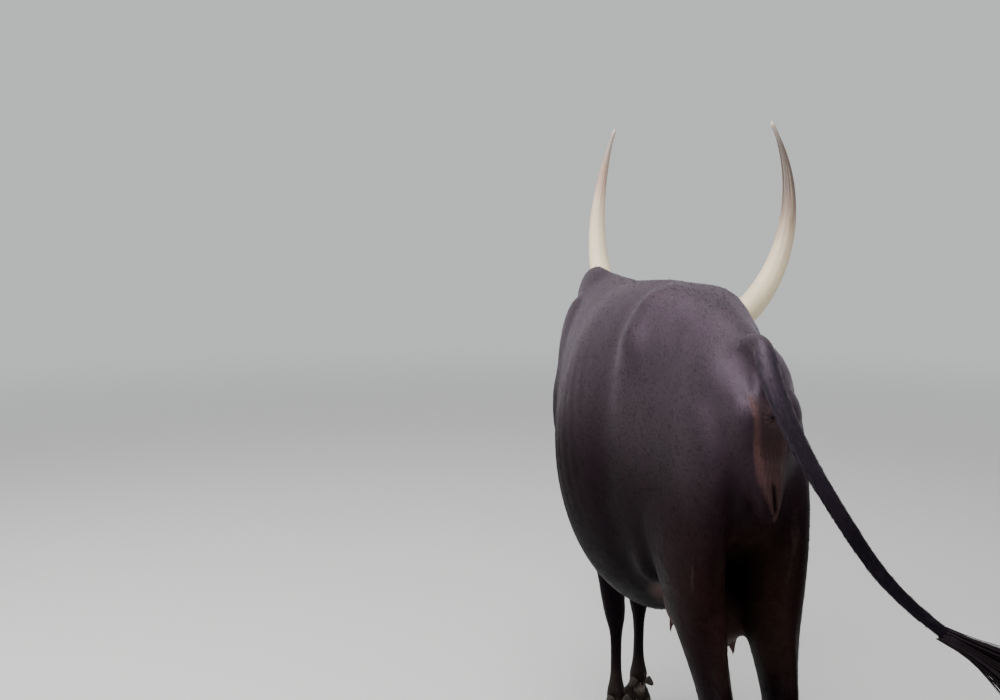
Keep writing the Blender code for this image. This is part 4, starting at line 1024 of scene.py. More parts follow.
def fold_depths(places, normals, masks):
    """How far the skin stands out at each place."""
    x, y, z = places.T
    trunk = (1.0 - masks["head"]) * (1.0 - masks["legs"]) * (1.0 - masks["tail"])
    _, middle, lips, slit, ring, behind = rear_masks(places)
    off_tail = 1.0 - masks["tail"]
    depth = 0.0022 * lips * off_tail - 0.0045 * slit * off_tail
    waver = 0.5 + 0.5 * mottle(places * np.array((1.0, 1.0, 0.4)), 45.0, 13)
    pleats = np.sin(x * 900.0 + 2.5 * np.sin(z * 60.0) + 1.5 * np.sin(z * 23.0))
    depth += 0.0006 * middle * off_tail * waver * pleats
    hollow = hill(wide_of(places), 0.037, 0.013) * hill(y, 0.675, 0.040) * rise(z, 1.12, 1.17)
    depth -= 0.0075 * hollow * off_tail
    turn = np.arctan2(z - ANUS_HEIGHT, x)
    pucker = (1.0 - rise(ring, 0.012, 0.024)) * behind * off_tail
    pit = 0.0050 * hill(ring, 0.0, 0.005) * behind * off_tail
    depth += pucker * (0.0016 + 0.0007 * np.cos(turn * 11.0)) - pit
    ribs = np.sin((y + 0.30 * (z - 0.95)) * 2.0 * math.pi / 0.052)
    flank = rise(np.abs(normals[:, 0]), 0.5, 0.9) * rise(y, -0.34, -0.24) * (1.0 - rise(y, 0.06, 0.16))
    flank *= rise(z, 0.74, 0.84) * (1.0 - rise(z, 1.12, 1.24))
    depth += 0.0004 * ribs * flank * trunk
    run = (places - NECK_POINT) @ NECK_RUN
    waves = np.sin((run + 0.015 * np.sin(z * 17.0)) * 2.0 * math.pi / 0.034)
    bend_side = 1.0 - rise(x + 0.50 * (y + 0.80), -0.10, 0.02)
    loose = rise(run, 0.02, 0.10) * (1.0 - rise(run, 0.30, 0.40)) * (1.0 - rise(z, 1.12, 1.22))
    waves = 0.0022 * np.clip(waves, 0.0, 1.0) ** 2
    depth -= waves * loose * (0.25 + 0.75 * bend_side) * (1.0 - masks["head"])
    throat = (1.0 - rise(z, 0.86, 0.98)) * rise(-y, 0.60, 0.72) * (1.0 - masks["legs"])
    depth -= 0.0018 * np.clip(np.sin((y + 0.4 * z) * 2.0 * math.pi / 0.041), 0.0, 1.0) ** 2 * throat
    cannon = rise(z, 0.15, 0.20) * (1.0 - rise(z, 0.38, 0.44)) * rise(np.abs(normals[:, 0]), 0.6, 0.9)
    stagger = 0.90 * FORE_STAGGER
    fore = np.maximum(hill(y, -0.476 + stagger, 0.0055), hill(y, -0.476 - stagger, 0.0055))
    hind = hill(y, 0.622 - 0.055 * (1.0 - rise(z, 0.15, 0.40)), 0.0055)
    depth -= 0.0016 * cannon * np.clip(fore * (y < 0.0) + hind * (y > 0.0), 0.0, 1.0)
    left, forward, up = on_head(places).T
    mouth = rise(forward, 0.390, 0.402) * masks["head"]
    depth += mouth * (0.0012 * hill(up, MOUTH_UP + 0.008, 0.006) + 0.0010 * hill(up, MOUTH_UP - 0.009, 0.006))
    depth -= 0.0042 * mouth * hill(up, MOUTH_UP, 0.0021)
    for side in (1, -1):
        rim = np.hypot(np.abs(left) - 0.040, (up + 0.046) * 1.15)
        depth += 0.0007 * hill(rim, 0.019, 0.005) * rise(forward, 0.44, 0.47) * masks["head"]
        along, over, out = eye_places(places, side).T
        ring = np.hypot(along * 0.92, over * 1.25)
        shell = rise(ring, 0.026, 0.030) * (1.0 - rise(ring, 0.040, 0.056)) * (np.abs(out) < 0.05)
        lower = 0.45 + 0.55 * (over < 0.0)
        depth += 0.00055 * np.sin(ring * 2.0 * math.pi / 0.0062) * shell * lower
        vein = hill(left * side - 0.066 + 0.04 * (forward - 0.25), 0.0, 0.0035)
        depth += 0.0010 * vein * rise(forward, 0.20, 0.25) * (1.0 - rise(forward, 0.36, 0.40)) * masks["head"]
    depth += 0.0010 * mottle(places, 5.0, 11) * trunk
    return depth


def refine_rear(bm):
    """More corners under the tail, where the skin is finely folded."""
    edges = []
    for edge in bm.edges:
        middle = (edge.verts[0].co + edge.verts[1].co) / 2
        if middle.y > 0.60 and abs(middle.x) < 0.060 and 0.86 < middle.z < 1.22:
            edges.append(edge)
    bmesh.ops.subdivide_edges(bm, edges=edges, cuts=2, use_grid_fill=True)


def foot_places():
    """The middle of each foot on the ground, with its name."""
    made = []
    for side, word in ((1, "left"), (-1, "right")):
        fore = Vector((FORE_FOOT_CENTRE.x + side * FORE_FOOT_OUT,
                       FORE_FOOT_CENTRE.y + FORE_STAGGER * side, 0.0))
        hind = Vector((HIND_FOOT_CENTRE.x + side * HIND_FOOT_OUT, HIND_FOOT_CENTRE.y, 0.0))
        made.append(("front_" + word, side, fore))
        made.append(("hind_" + word, side, hind))
    return made


def cut_at_coronets(bm):
    """End each leg just over its hooves and close it there."""
    lean = (CORONET_FRONT - CORONET_BACK) / CLAW_LENGTH
    normal = Vector((0.0, lean, 1.0)).normalized()
    for _, _, foot in foot_places():
        faces = []
        for face in bm.faces:
            middle = face.calc_center_median()
            if middle.z < 0.12 and (middle.xy - foot.xy).length < 0.13 and abs(middle.x - foot.x) < 0.058:
                faces.append(face)
        level = Vector((foot.x, foot.y, (CORONET_FRONT + CORONET_BACK) / 2 + 0.001))
        bmesh.ops.bisect_plane(bm, geom=with_edges(faces), dist=CUT_TOLERANCE, plane_co=level,
                               plane_no=normal, clear_inner=True)
        rim = [edge for edge in bm.edges if len(edge.link_faces) == 1]
        bmesh.ops.holes_fill(bm, edges=rim, sides=0)


def make_skin():
    """The whole skin in the cow's own frame, with its folds."""
    mesh = join_at_neck(body_skin(), head_skin())
    bm = worked(mesh)
    cut_at_coronets(bm)
    refine_rear(bm)
    bmesh.ops.triangulate(bm, faces=[face for face in bm.faces if len(face.verts) > 4])
    bm.to_mesh(mesh)
    bm.free()
    places, normals = points_of(mesh)
    masks = masks_of(places, normals)
    depth = fold_depths(places, normals, masks) - COAT_DEPTH * (1.0 - 0.6 * masks["ears"])
    depth *= rise(places[:, 2], 0.052, 0.075)
    set_points(mesh, places + normals * depth[:, None])
    mesh.shade_smooth()
    return linked("skin", mesh)


def colour_layer(mesh, name, values):
    """Store a colour for each corner of a mesh."""
    layer = mesh.color_attributes.new(name, "FLOAT_COLOR", "POINT")
    full = np.ones((len(values), 4), dtype=np.float32)
    full[:, :3] = values
    layer.data.foreach_set("color", full.ravel())


def paint_skin(mesh):
    """Markings of the skin with its painted light and shade, and where it is bare, on a leg or on the head.
    """
    places, normals = points_of(mesh)
    masks = masks_of(places, normals)
    colours, bare = coat_colours(places, normals, masks)
    colour_layer(mesh, "coat_colour", colours)
    leg = np.maximum(masks["legs"], masks["tail"])
    colour_layer(mesh, "coat_kind", np.stack((bare, leg, masks["head"]), 1))


# Hair, as three-sided tapering tufts
def tuft_piece(name, paths, ups, widths, colours, patches=None, sleek=0.0):
    """Tapering tufts along rows of points, joined in one mesh, with one colour each.

    Sleek tufts are shaded mostly as the skin they lie on.
    """
    count, steps = paths.shape[:2]
    ahead = np.gradient(paths, axis=1)
    ahead /= np.linalg.norm(ahead, axis=2)[:, :, None]
    side = np.cross(ups[:, None, :], ahead)
    side /= np.linalg.norm(side, axis=2)[:, :, None] + 1e-9
    over = np.cross(ahead, side)
    rings = steps - 1
    corners = np.empty((count, rings * 3 + 1, 3))
    for ring in range(rings):
        wide = widths[:, ring, None]
        corners[:, ring * 3] = paths[:, ring] - side[:, ring] * wide
        corners[:, ring * 3 + 1] = paths[:, ring] + side[:, ring] * wide
        corners[:, ring * 3 + 2] = paths[:, ring] + over[:, ring] * wide * (0.7 - 0.4 * sleek)
    corners[:, -1] = paths[:, -1]
    pattern = [(0, 2, 1)]
    tip = rings * 3
    for ring in range(rings):
        low = ring * 3
        for a, b in ((0, 1), (1, 2), (2, 0)):
            if ring == rings - 1:
                pattern.append((low + a, low + b, tip))
            else:
                pattern.append((low + a, low + b, low + b + 3))
                pattern.append((low + a, low + b + 3, low + a + 3))
    pattern = np.array(pattern)
    width = rings * 3 + 1
    faces = (np.arange(count)[:, None, None] * width + pattern[None]).reshape(-1, 3)
    mesh = bpy.data.meshes.new(name)
    mesh.vertices.add(count * width)
    mesh.loops.add(len(faces) * 3)
    mesh.polygons.add(len(faces))
    mesh.vertices.foreach_set("co", corners.astype(np.float32).ravel())
    mesh.loops.foreach_set("vertex_index", faces.astype(np.int32).ravel())
    mesh.polygons.foreach_set("loop_start", np.arange(0, len(faces) * 3, 3, dtype=np.int32))
    mesh.update(calc_edges=True)
    mesh.validate()
    colour_layer(mesh, "coat_colour", np.repeat(colours, width, axis=0))
    if patches is not None:
        spread = np.zeros((width, 2))
        for corner in range(width):
            spread[corner] = ((corner % 3) / 2.0 - 0.5, (corner // 3) / rings - 0.5)
        places = patches[:, None, :] + spread[None] * UV_PATCH
        flat = places.reshape(-1, 2)[faces.ravel()]
        layer = mesh.uv_layers.new(name="OFBake")
        layer.data.foreach_set("uv", flat.astype(np.float32).ravel())
    mesh.shade_smooth()
    if sleek > 0.0:
        own = points_of(mesh)[1]
        facing = np.repeat(ups, width, axis=0) * sleek + own * (1.0 - sleek)
        mesh.normals_split_custom_set_from_vertices(facing)
    return linked(name, mesh)


UV_PATCH = 0.003
PROXY_FACES = 9000
COAT_SLEEK = 0.92


class Unwrap:
    """An unwrap of the skin's own shape, looked up by place."""

    def __init__(self, skin):
        copy = linked("unwrap", skin.data.copy())
        thin = copy.modifiers.new("Thin", "DECIMATE")
        thin.ratio = PROXY_FACES / (2.0 * len(copy.data.polygons))
        apply_modifiers(copy)
        bm = worked(copy.data)
        bmesh.ops.triangulate(bm, faces=bm.faces)
        bm.to_mesh(copy.data)
        bm.free()
        for item in bpy.context.selected_objects:
            item.select_set(False)
        bpy.context.view_layer.objects.active = copy
        copy.select_set(True)
        bpy.ops.object.mode_set(mode="EDIT")
        bpy.ops.mesh.select_all(action="SELECT")
        bpy.ops.uv.smart_project(angle_limit=math.radians(66), island_margin=0.004)
        bpy.ops.object.mode_set(mode="OBJECT")
        mesh = copy.data
        layer = mesh.uv_layers.active.data
        self.corners = [vert.co.copy() for vert in mesh.vertices]
        self.faces = [tuple(face.vertices) for face in mesh.polygons]
        self.layout = []
        for face in mesh.polygons:
            self.layout.append([layer[loop].uv.copy() for loop in face.loop_indices])
        self.tree = BVHTree.FromPolygons(self.corners, self.faces)
        discard(copy)

    def at(self, places):
        """The unwrap's place for each place on the skin."""
        made = np.empty((len(places), 2))
        for row, place in enumerate(places):
            point, _, index, _ = self.tree.find_nearest(Vector(place))
            corners = [self.corners[corner] for corner in self.faces[index]]
            flat = [Vector((uv.x, uv.y, 0.0)) for uv in self.layout[index]]
            spot = barycentric_transform(point, *corners, *flat)
            made[row] = (spot.x, spot.y)
        return made


def lies(places, normals, masks):
    """The way the hair lies at each place, along the skin."""
    flow = np.tile(np.array((0.0, 0.93, -0.36)), (len(places), 1))
    legs = masks["legs"][:, None]
    flow = flow * (1.0 - legs) + np.array((0.0, 0.12, -1.0)) * legs
    neck = masks["neck"][:, None]
    flow = flow * (1.0 - neck) + (np.array((0.0, 0.0, -0.45)) - NECK_RUN * 0.9) * neck
    head = masks["head"][:, None]
    face = np.array(HEAD_FORWARD * 0.92 - HEAD_UP * 0.30)
    flow = flow * (1.0 - head) + face * head
    rows = np.array(tail_rows(TAIL_MARKS))[:, :3]
    along = np.gradient(rows, axis=0)[masks["tail_index"]]
    along /= np.linalg.norm(along, axis=1)[:, None]
    tail = masks["tail"][:, None]
    flow = flow * (1.0 - tail) + along * tail
    for side in (1, -1):
        reach = on_head(places)[:, 0] * side
        ear = (masks["ears"] * (reach > 0.0))[:, None]
        flow = flow * (1.0 - ear) + np.array(ear_frame(side)[0]) * ear
    flow -= normals * np.sum(flow * normals, axis=1)[:, None]
    return flow / (np.linalg.norm(flow, axis=1)[:, None] + 1e-9)


def coat_plan(places, normals, masks, bare):
    """How many tufts a square metre holds at each place, and their length, lift and half width."""
    _, y, z = places.T
    _, forward, up = on_head(places).T
    rows = (
        (1.0 - masks["head"], 6000, 0.0100, 0.0006, 0.0006),
        (masks["head"] * (1.0 - masks["ears"]), 26000, 0.0070, 0.0007, 0.0005),
        (masks["head"] * (1.0 - rise(forward, 0.06, 0.13)) * rise(up, -0.06, -0.02),
         60000, 0.026, 0.0050, 0.0008),
        (masks["cups"], 60000, 0.020, 0.0045, 0.0005),
        (masks["ears"] * (1.0 - masks["cups"]), 45000, 0.010, 0.0012, 0.0005),
        ((1.0 - rise(z, 0.80, 0.92)) * rise(-y, 0.56, 0.68) * (z > 0.62),
         20000, 0.019, 0.0022, 0.0009),
        (rise(-normals[:, 2], 0.75, 0.95) * (z > 0.55) * (z < 0.95) * (1.0 - masks["neck"]),
         10000, 0.014, 0.0016, 0.0006),
        (rise(normals[:, 2], 0.80, 0.97) * rise(z, 1.29, 1.33), 9000, 0.011, 0.0010, 0.0006),
        (rise(y, 0.56, 0.66) * rise(z, 0.52, 0.60) * (1.0 - rise(z, 0.95, 1.05)),
         9000, 0.012, 0.0011, 0.0006),
        (1.0 - rise(z, 0.075, 0.125), 60000, 0.014, 0.0016, 0.0007),
        (hill(z, 0.115, 0.035) * rise(normals[:, 1], 0.2, 0.7), 60000, 0.021, 0.0040, 0.0007),
        (hill(z, 0.56, 0.07) * rise(normals[:, 1], 0.3, 0.8) * (y > 0.0), 24000, 0.016, 0.0026, 0.0008),
        (masks["tail"], 36000, 0.012, 0.0009, 0.0006),
    )
    density = np.zeros(len(places))
    length = np.full(len(places), 1e-4)
    lift = np.zeros(len(places))
    half = np.full(len(places), 0.0005)
    for mask, number, long, high, wide in rows:
        density = np.maximum(density, mask * number)
        share = rise(mask, 0.15, 0.7)
        length = np.where(share > 0.0, length * (1.0 - share) + long * share, length)
        lift = np.where(share > 0.0, lift * (1.0 - share) + high * share, lift)
        half = half * (1.0 - share) + wide * share
    density *= 1.0 - rise(bare, 0.15, 0.5)
    density *= rise(z, 0.055, 0.062)
    return density, length, lift, half


COAT_PARTS = ("head", "neck", "chest", "belly", "flank_left", "flank_right", "rump", "front_legs",
              "hind_legs", "tail")


def part_index(places, masks):
    """Which piece of the coat each place belongs to."""
    x, y, z = places.T
    index = np.where(x > CHEST_SHIFT, 4, 5)
    index = np.where(y > HOOK_Y, 6, index)
    index = np.where(y < -0.45, 2, index)
    index = np.where((z < 0.80) & (y < HOOK_Y) & (y > -0.45), 3, index)
    index = np.where((masks["legs"] > 0.5) & (y < 0.0), 7, index)
    index = np.where((masks["legs"] > 0.5) & (y > 0.0), 8, index)
    index = np.where(masks["neck"] > 0.5, 1, index)
    index = np.where(masks["head"] > 0.5, 0, index)
    return np.where(masks["tail"] > 0.5, 9, index)


def scattered(mesh, draw):
    """Roots of the coat over the skin: places and normals, denser where the plan says so."""
    mesh.calc_loop_triangles()
    count = len(mesh.loop_triangles)
    corners = np.empty(count * 3, dtype=np.int32)
    mesh.loop_triangles.foreach_get("vertices", corners)
    corners = corners.reshape(-1, 3)
    places, normals = points_of(mesh)
    middles = places[corners].mean(axis=1)
    facing = normals[corners].mean(axis=1)
    facing /= np.linalg.norm(facing, axis=1)[:, None] + 1e-9
    masks = masks_of(middles, facing)
    bare = coat_colours(middles, facing, masks)[1]
    density = coat_plan(middles, facing, masks, bare)[0]
    a, b, c = (places[corners[:, corner]] for corner in range(3))
    area = np.linalg.norm(np.cross(b - a, c - a), axis=1) / 2
    total = np.cumsum(area * density)
    number = int(total[-1])
    chosen = np.searchsorted(total, draw.uniform(0.0, total[-1], number))
    first = np.sqrt(draw.uniform(0.0, 1.0, number))[:, None]
    second = draw.uniform(0.0, 1.0, number)[:, None]
    roots = a[chosen] * (1.0 - first) + b[chosen] * first * (1.0 - second) + c[chosen] * first * second
    return roots, facing[chosen]


def make_coat(skin, surface, head_surface):
    """Short tufts all over, longer where the coat breaks the body's outline."""
    draw = np.random.default_rng(20)
    roots, normals = scattered(skin.data, draw)
    masks = masks_of(roots, normals)
    colours, bare = coat_colours(roots, normals, masks)
    _, length, lift, half = coat_plan(roots, normals, masks, bare)
    count = len(roots)
    length = length * draw.uniform(0.7, 1.3, count)
    lift = lift * draw.uniform(0.6, 1.5, count)
    half = half * draw.uniform(0.7, 1.25, count)
    flow = lies(roots, normals, masks)
    across = np.cross(normals, flow)
    sway = draw.normal(0.0, 0.16, count) + 0.22 * mottle(roots, 14.0, 21)
    ahead = flow + across * sway[:, None]
    ahead /= np.linalg.norm(ahead, axis=1)[:, None]
    bend = across * (draw.normal(0.0, 0.05, count) * length)[:, None]
    paths = np.empty((count, 4, 3))
    paths[:, 0] = roots - normals * 0.0004
    paths[:, 1] = roots + ahead * (length * 0.33)[:, None] + normals * (lift * 0.7)[:, None] + bend * 0.6
    paths[:, 2] = roots + ahead * (length * 0.70)[:, None] + normals * lift[:, None] + bend
    paths[:, 3] = roots + ahead * length[:, None] + normals * (lift * 0.75)[:, None]
    widths = half[:, None] * np.array((0.8, 1.0, 0.62))
    colours = colours * draw.uniform(0.86, 1.18, count)[:, None]
    patches = Unwrap(skin).at(roots)
    index = part_index(roots, masks)
    for number, part in enumerate(COAT_PARTS):
        chosen = index == number
        piece = tuft_piece("coat_" + part, paths[chosen], normals[chosen], widths[chosen],
                           colours[chosen], patches[chosen], COAT_SLEEK)
        finish(piece, head_surface if part == "head" else surface)


def make_switch(surface):
    """The long hair at the end of the tail."""
    draw = np.random.default_rng(31)
    rows = np.array(tail_rows(TAIL_STEPS + 1))
    count = 620
    steps = 13
    end = rows[-1, :3]
    run = rows[-1, :3] - rows[-2, :3]
    run /= np.linalg.norm(run)
    fall = np.array((0.0, 0.0, -1.0))
    hair_run = run - fall * SWITCH_LEVELLING
    hair_run /= np.linalg.norm(hair_run)
    across = np.cross(run, fall)
    across /= np.linalg.norm(across)
    over = np.cross(across, run)
    turn = draw.uniform(0.0, 2.0 * math.pi, count)
    radial = across * np.cos(turn)[:, None] + over * np.sin(turn)[:, None]
    start = draw.uniform(0.0, 0.50, count) ** 1.2
    reach = SWITCH_LENGTH * draw.uniform(0.74, 1.0, count)
    inner = draw.uniform(0.2, 1.0, count)
    early = np.arange(count) % 3 == 0
    start = np.where(early, -draw.uniform(0.0, 0.10, count), start)
    spread = draw.uniform(0.006, 0.040, count)
    share = np.linspace(0.0, 1.0, steps)
    way = SWITCH_LENGTH * 0.42 * start[:, None] + (reach - SWITCH_LENGTH * 0.42 * start)[:, None] * share
    bend = way / SWITCH_LENGTH
    paths = end - run * 0.004 + hair_run * (way * (1.0 - 0.30 * bend))[:, :, None]
    paths = paths + fall * (way * bend ** 2 * 0.72)[:, :, None]
    root = TAIL_END_RADIUS * np.where(early, 0.94, 0.70 * inner * (1.0 - start))
    swell = np.sin(math.pi * np.minimum(share * 0.8 + 0.04, 1.0))
    out = root[:, None] * (1.0 - share) + spread[:, None] * swell * (0.35 + 0.65 * rise(bend, 0.0, 0.4))
    paths = paths + radial[:, None, :] * out[:, :, None]
    waves = np.sin(share * draw.uniform(4.0, 9.0, count)[:, None] + turn[:, None]) * 0.0026 * share
    paths = paths + np.cross(radial, run)[:, None, :] * waves[:, :, None]
    taper = np.clip(1.05 - share[:-1] ** 2.2, 0.12, 1.0)
    widths = draw.uniform(0.0010, 0.0021, count)[:, None] * taper
    colours = np.array((0.0120, 0.0090, 0.0108)) * draw.uniform(0.6, 1.5, count)[:, None]
    piece = tuft_piece("switch", paths, radial, widths, colours)
    finish(piece, surface)
    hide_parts("tail_switch")


def make_lashes(surface):
    """Lashes on the upper lids, and whiskers on the muzzle and chin."""
    draw = np.random.default_rng(43)
    share = np.linspace(0.0, 1.0, 6)
    for side, word in ((1, "left"), (-1, "right")):
        loop = lid_loop(side, 1.10, 1.20, 96)
        over = np.array(eye_frame(side)[1])
        axis = np.array(eye_axis(side))
        roots = []
        for point in loop[5:44]:
            for _ in range(2):
                roots.append(np.array(point) + draw.normal(0.0, 0.0005, 3))
        roots = np.array(roots)
        length = draw.uniform(0.014, 0.023, len(roots))[:, None]
        ahead = axis * 0.95 - over * 0.45 + draw.normal(0.0, 0.10, (len(roots), 3))
        paths = roots[:, None, :] + ahead[:, None, :] * (length * share)[:, :, None]
        paths = paths + over * (length * share ** 2 * 0.55)[:, :, None]
        widths = 0.00032 * (1.0 - 0.8 * share[:-1]) * np.ones((len(roots), 1))
        colours = np.full((len(roots), 3), 0.006)
        ups = np.tile(over, (len(roots), 1))
        finish(tuft_piece("lashes_" + word, paths, ups, widths, colours), surface)
    roots = []
    aims = []
    for _ in range(70):
        turn = draw.uniform(-1.25, 1.25)
        up = draw.uniform(-0.108, -0.040)
        reach = 0.056 * math.sin(turn)
        roots.append(head_point(reach, 0.452 + 0.040 * math.cos(turn) - 0.25 * abs(up + 0.07), up))
        aims.append(HEAD_LEFT * math.sin(turn) + HEAD_FORWARD * math.cos(turn) * 0.8 - HEAD_UP * 0.25)
    roots = np.array(roots)
    aims = np.array(aims) + draw.normal(0.0, 0.15, (len(roots), 3))
    length = draw.uniform(0.014, 0.034, len(roots))[:, None]
    paths = roots[:, None, :] + aims[:, None, :] * (length * share)[:, :, None]
    paths = paths - np.array((0.0, 0.0, 1.0)) * (length * share ** 2 * 0.2)[:, :, None]
    widths = 0.00026 * (1.0 - 0.8 * share[:-1]) * np.ones((len(roots), 1))
    ups = np.tile(np.array(HEAD_UP), (len(roots), 1))
    finish(tuft_piece("whiskers", paths, ups, widths, np.full((len(roots), 3), 0.02)), surface)


# Horns, hooves and eyes
def finish(piece, surface):
    """Give a piece its surface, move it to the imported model's place and let it ride with the body."""
    piece.data.materials.clear()
    piece.data.materials.append(surface)
    piece.data.transform(Matrix.Translation(SHIFT))
    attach(piece, "root")


def new_piece(name, bm, surface, slot, **layers):
    """A smooth-shaded piece of the model, with named rows of three numbers for its corners."""
    made = scratch_object(bm, name)
    made.data.shade_smooth()
    for word, rows in layers.items():
        layer = made.data.attributes.new(word, "FLOAT_VECTOR", "POINT")
        layer.data.foreach_set("vector", np.array(rows, dtype=np.float32).ravel())
    finish(made, surface)
    return made


def horn_path(side, count):
    """The centre line of a horn: out from the head, then up in a lyre."""
    start = head_point(side * 0.101, *HORN_PLACE)
    outward = HEAD_LEFT * side
    first = start + outward * 0.235 + UP * 0.045
    second = POLL + outward * HORN_SPREAD + UP * 0.395 + HEAD_OUT * 0.15
    tip = POLL + outward * 0.288 + UP * HORN_RISE + HEAD_OUT * 0.08
    return interpolate_bezier(start + outward * GAP, first, second, tip, count)


def make_horn(word, side, surface):
    """One horn, with faint rings near its base and a worn tip."""
    count = 150
    sides = 56
    points = horn_path(side, count)
    lengths = [0.0]
    for before, after in zip(points, points[1:]):
        lengths.append(lengths[-1] + (after - before).length)
    draw = random.Random(50 + side)
    rings = []
    grain = []
    for index, point in enumerate(points):
        ahead = points[min(index + 1, count - 1)]
        behind = points[max(index - 1, 0)]
        tangent = (ahead - behind).normalized()
        if index == 0:
            tangent = HEAD_LEFT * side
        across = tangent.cross(HEAD_OUT).normalized()
        over = across.cross(tangent)
        along = lengths[index] / lengths[-1]
        radius = max(HORN_BASE_DIAMETER * (1.0 - along) ** 0.75, HORN_TIP_DIAMETER) / 2
        radius *= 1.0 - ease(along, 0.985, 1.0) * 0.75
        ripple = 0.0008 * (0.5 + 0.5 * math.sin(along * 190.0 + 0.6 * draw.random()))
        radius -= ripple * (1.0 - ease(along, 0.05, 0.30))
        ring = []
        for corner in range(sides):
            turn = 2.0 * math.pi * corner / sides
            uneven = radius * (1.0 - 0.008 * math.cos(3.0 * turn + along * 5.0) ** 2)
            ring.append(point + across * math.cos(turn) * uneven + over * math.sin(turn) * uneven)
            grain.append((math.cos(turn), math.sin(turn), along))
        rings.append(ring)
    bm = bmesh.new()
    add_loft(bm, rings)
    piece = new_piece("horn_fine_" + word, bm, surface, "horn", grain=grain)
    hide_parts("horn_" + word)


def coronet_height(ahead):
    """The height of the coronet at a distance ahead of the foot's middle."""
    return blend(CORONET_BACK, CORONET_FRONT, ahead / CLAW_LENGTH + 0.5)


def make_claw(name, foot, foot_side, claw_side, surface):
    """One half of a cloven hoof, with growth rings and a rounded band at its top."""
    levels = 30
    sides = 72
    rings = []
    grain = []
    for step in range(levels + 3):
        share = min(step / (levels - 1), 1.0)
        inset = max(0, step - levels + 1) * 0.28
        ring = []
        for corner in range(sides):
            turn = 2.0 * math.pi * corner / sides
            ahead = math.cos(turn)
            out = math.sin(turn)
            toe_share = ease(ahead, -0.12, 0.12)
            toe = blend(CLAW_LENGTH * 0.40, blend(CLAW_LENGTH / 2, CLAW_LENGTH * 0.36, share), toe_share)
            y = math.copysign(abs(ahead) ** 0.85, ahead) * toe
            half = CLAW_WIDTH / 2 * blend(1.0, 0.90, share)
            wall = out * half * blend(0.86, 1.0, ease(out, -0.2, 0.2))
            pinch = 1.0 - 0.28 * max(ahead, 0.0) ** 2
            rounding = 0.0016 * (1.0 - ease(share, 0.0, 0.06)) + 0.0024 * ease(share, 0.93, 1.0)
            waves = 0.00045 * math.sin(share * 46.0 + 1.2 * ahead + foot.y * 9.0) * ease(share, 0.08, 0.25)
            waves -= 0.0009 * ease(share, 0.80, 0.86) * (1.0 - ease(share, 0.90, 0.96))
            shrink = 1.0 - (rounding - waves) / (CLAW_WIDTH / 2) - inset
            middle = CLAW_CLEFT / 2 + CLAW_WIDTH / 2 * 0.88
            x = claw_side * (middle + wall * pinch * shrink)
            y *= 1.0 - (rounding - waves) / (CLAW_LENGTH / 2) - inset
            z = share * (coronet_height(y) - GAP)
            ring.append(Vector((foot.x + foot_side * x, foot.y - y, z)))
            grain.append((ahead, out, share))
        rings.append(ring)
    bm = bmesh.new()
    add_loft(bm, rings)
    piece = new_piece("hoof_" + name, bm, surface, "hoof", grain=grain)
    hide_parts("claw_" + name)


FORE_DEWCLAW = 0.0408
HIND_DEWCLAW = 0.0550


def dewclaw_root(foot, side):
    """Where a dewclaw meets the back of the fetlock, and the way it points."""
    behind = FORE_DEWCLAW if foot.y < 0 else HIND_DEWCLAW
    axis = Vector((side * 0.58, 0.64, -0.50)).normalized()
    return foot + Vector((side * 0.0195, behind, 0.118)) + axis * GAP, axis


def make_dewclaw(name, foot, side, surface):
    """A small blunt claw behind the fetlock."""
    place, axis = dewclaw_root(foot, side)
    across = axis.cross(UP).normalized()
    over = across.cross(axis)
    levels = 16
    sides = 28
    rings = []
    grain = []
    for step in range(levels):
        share = step / (levels - 1)
        radius = 0.0125 * math.cos(share * 1.25) * (1.0 - 0.03 * math.sin(share * 30.0))
        rings.append(oval(place + axis * 0.026 * share, across, over, radius, radius, radius, 2.0, sides))
        for corner in range(sides):
            turn = 2.0 * math.pi * corner / sides
            grain.append((math.cos(turn), math.sin(turn), share))
    bm = bmesh.new()
    add_loft(bm, rings)
    piece = new_piece("dew_" + name, bm, surface, "hoof", grain=grain)
    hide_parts("dewclaw_" + name)


def make_eye(word, side, surface):
    """One eyeball with a slightly raised cornea."""
    bm = bmesh.new()
    bmesh.ops.create_icosphere(bm, subdivisions=6, radius=1.0)
    along, over = eye_frame(side)
    axis = eye_axis(side)
    radius = EYE_RADIUS - 2 * GAP
    gaze = []
    for vert in bm.verts:
        spot = vert.co.copy()
        gaze.append(spot[:])
        bulge = 1.0 + 0.020 * ease(spot.z, 0.70, 0.92)
        vert.co = eye_centre(side) + (along * spot.x + over * spot.y + axis * spot.z) * radius * bulge
    piece = new_piece("eyeball_" + word, bm, surface, "eye", gaze=gaze)
    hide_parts("eye_" + word)


# Surfaces
GLEAM = (0.93, 0.70, 0.94, 1.0)
GLEAM_HEIGHTS = (0.86, 1.33)


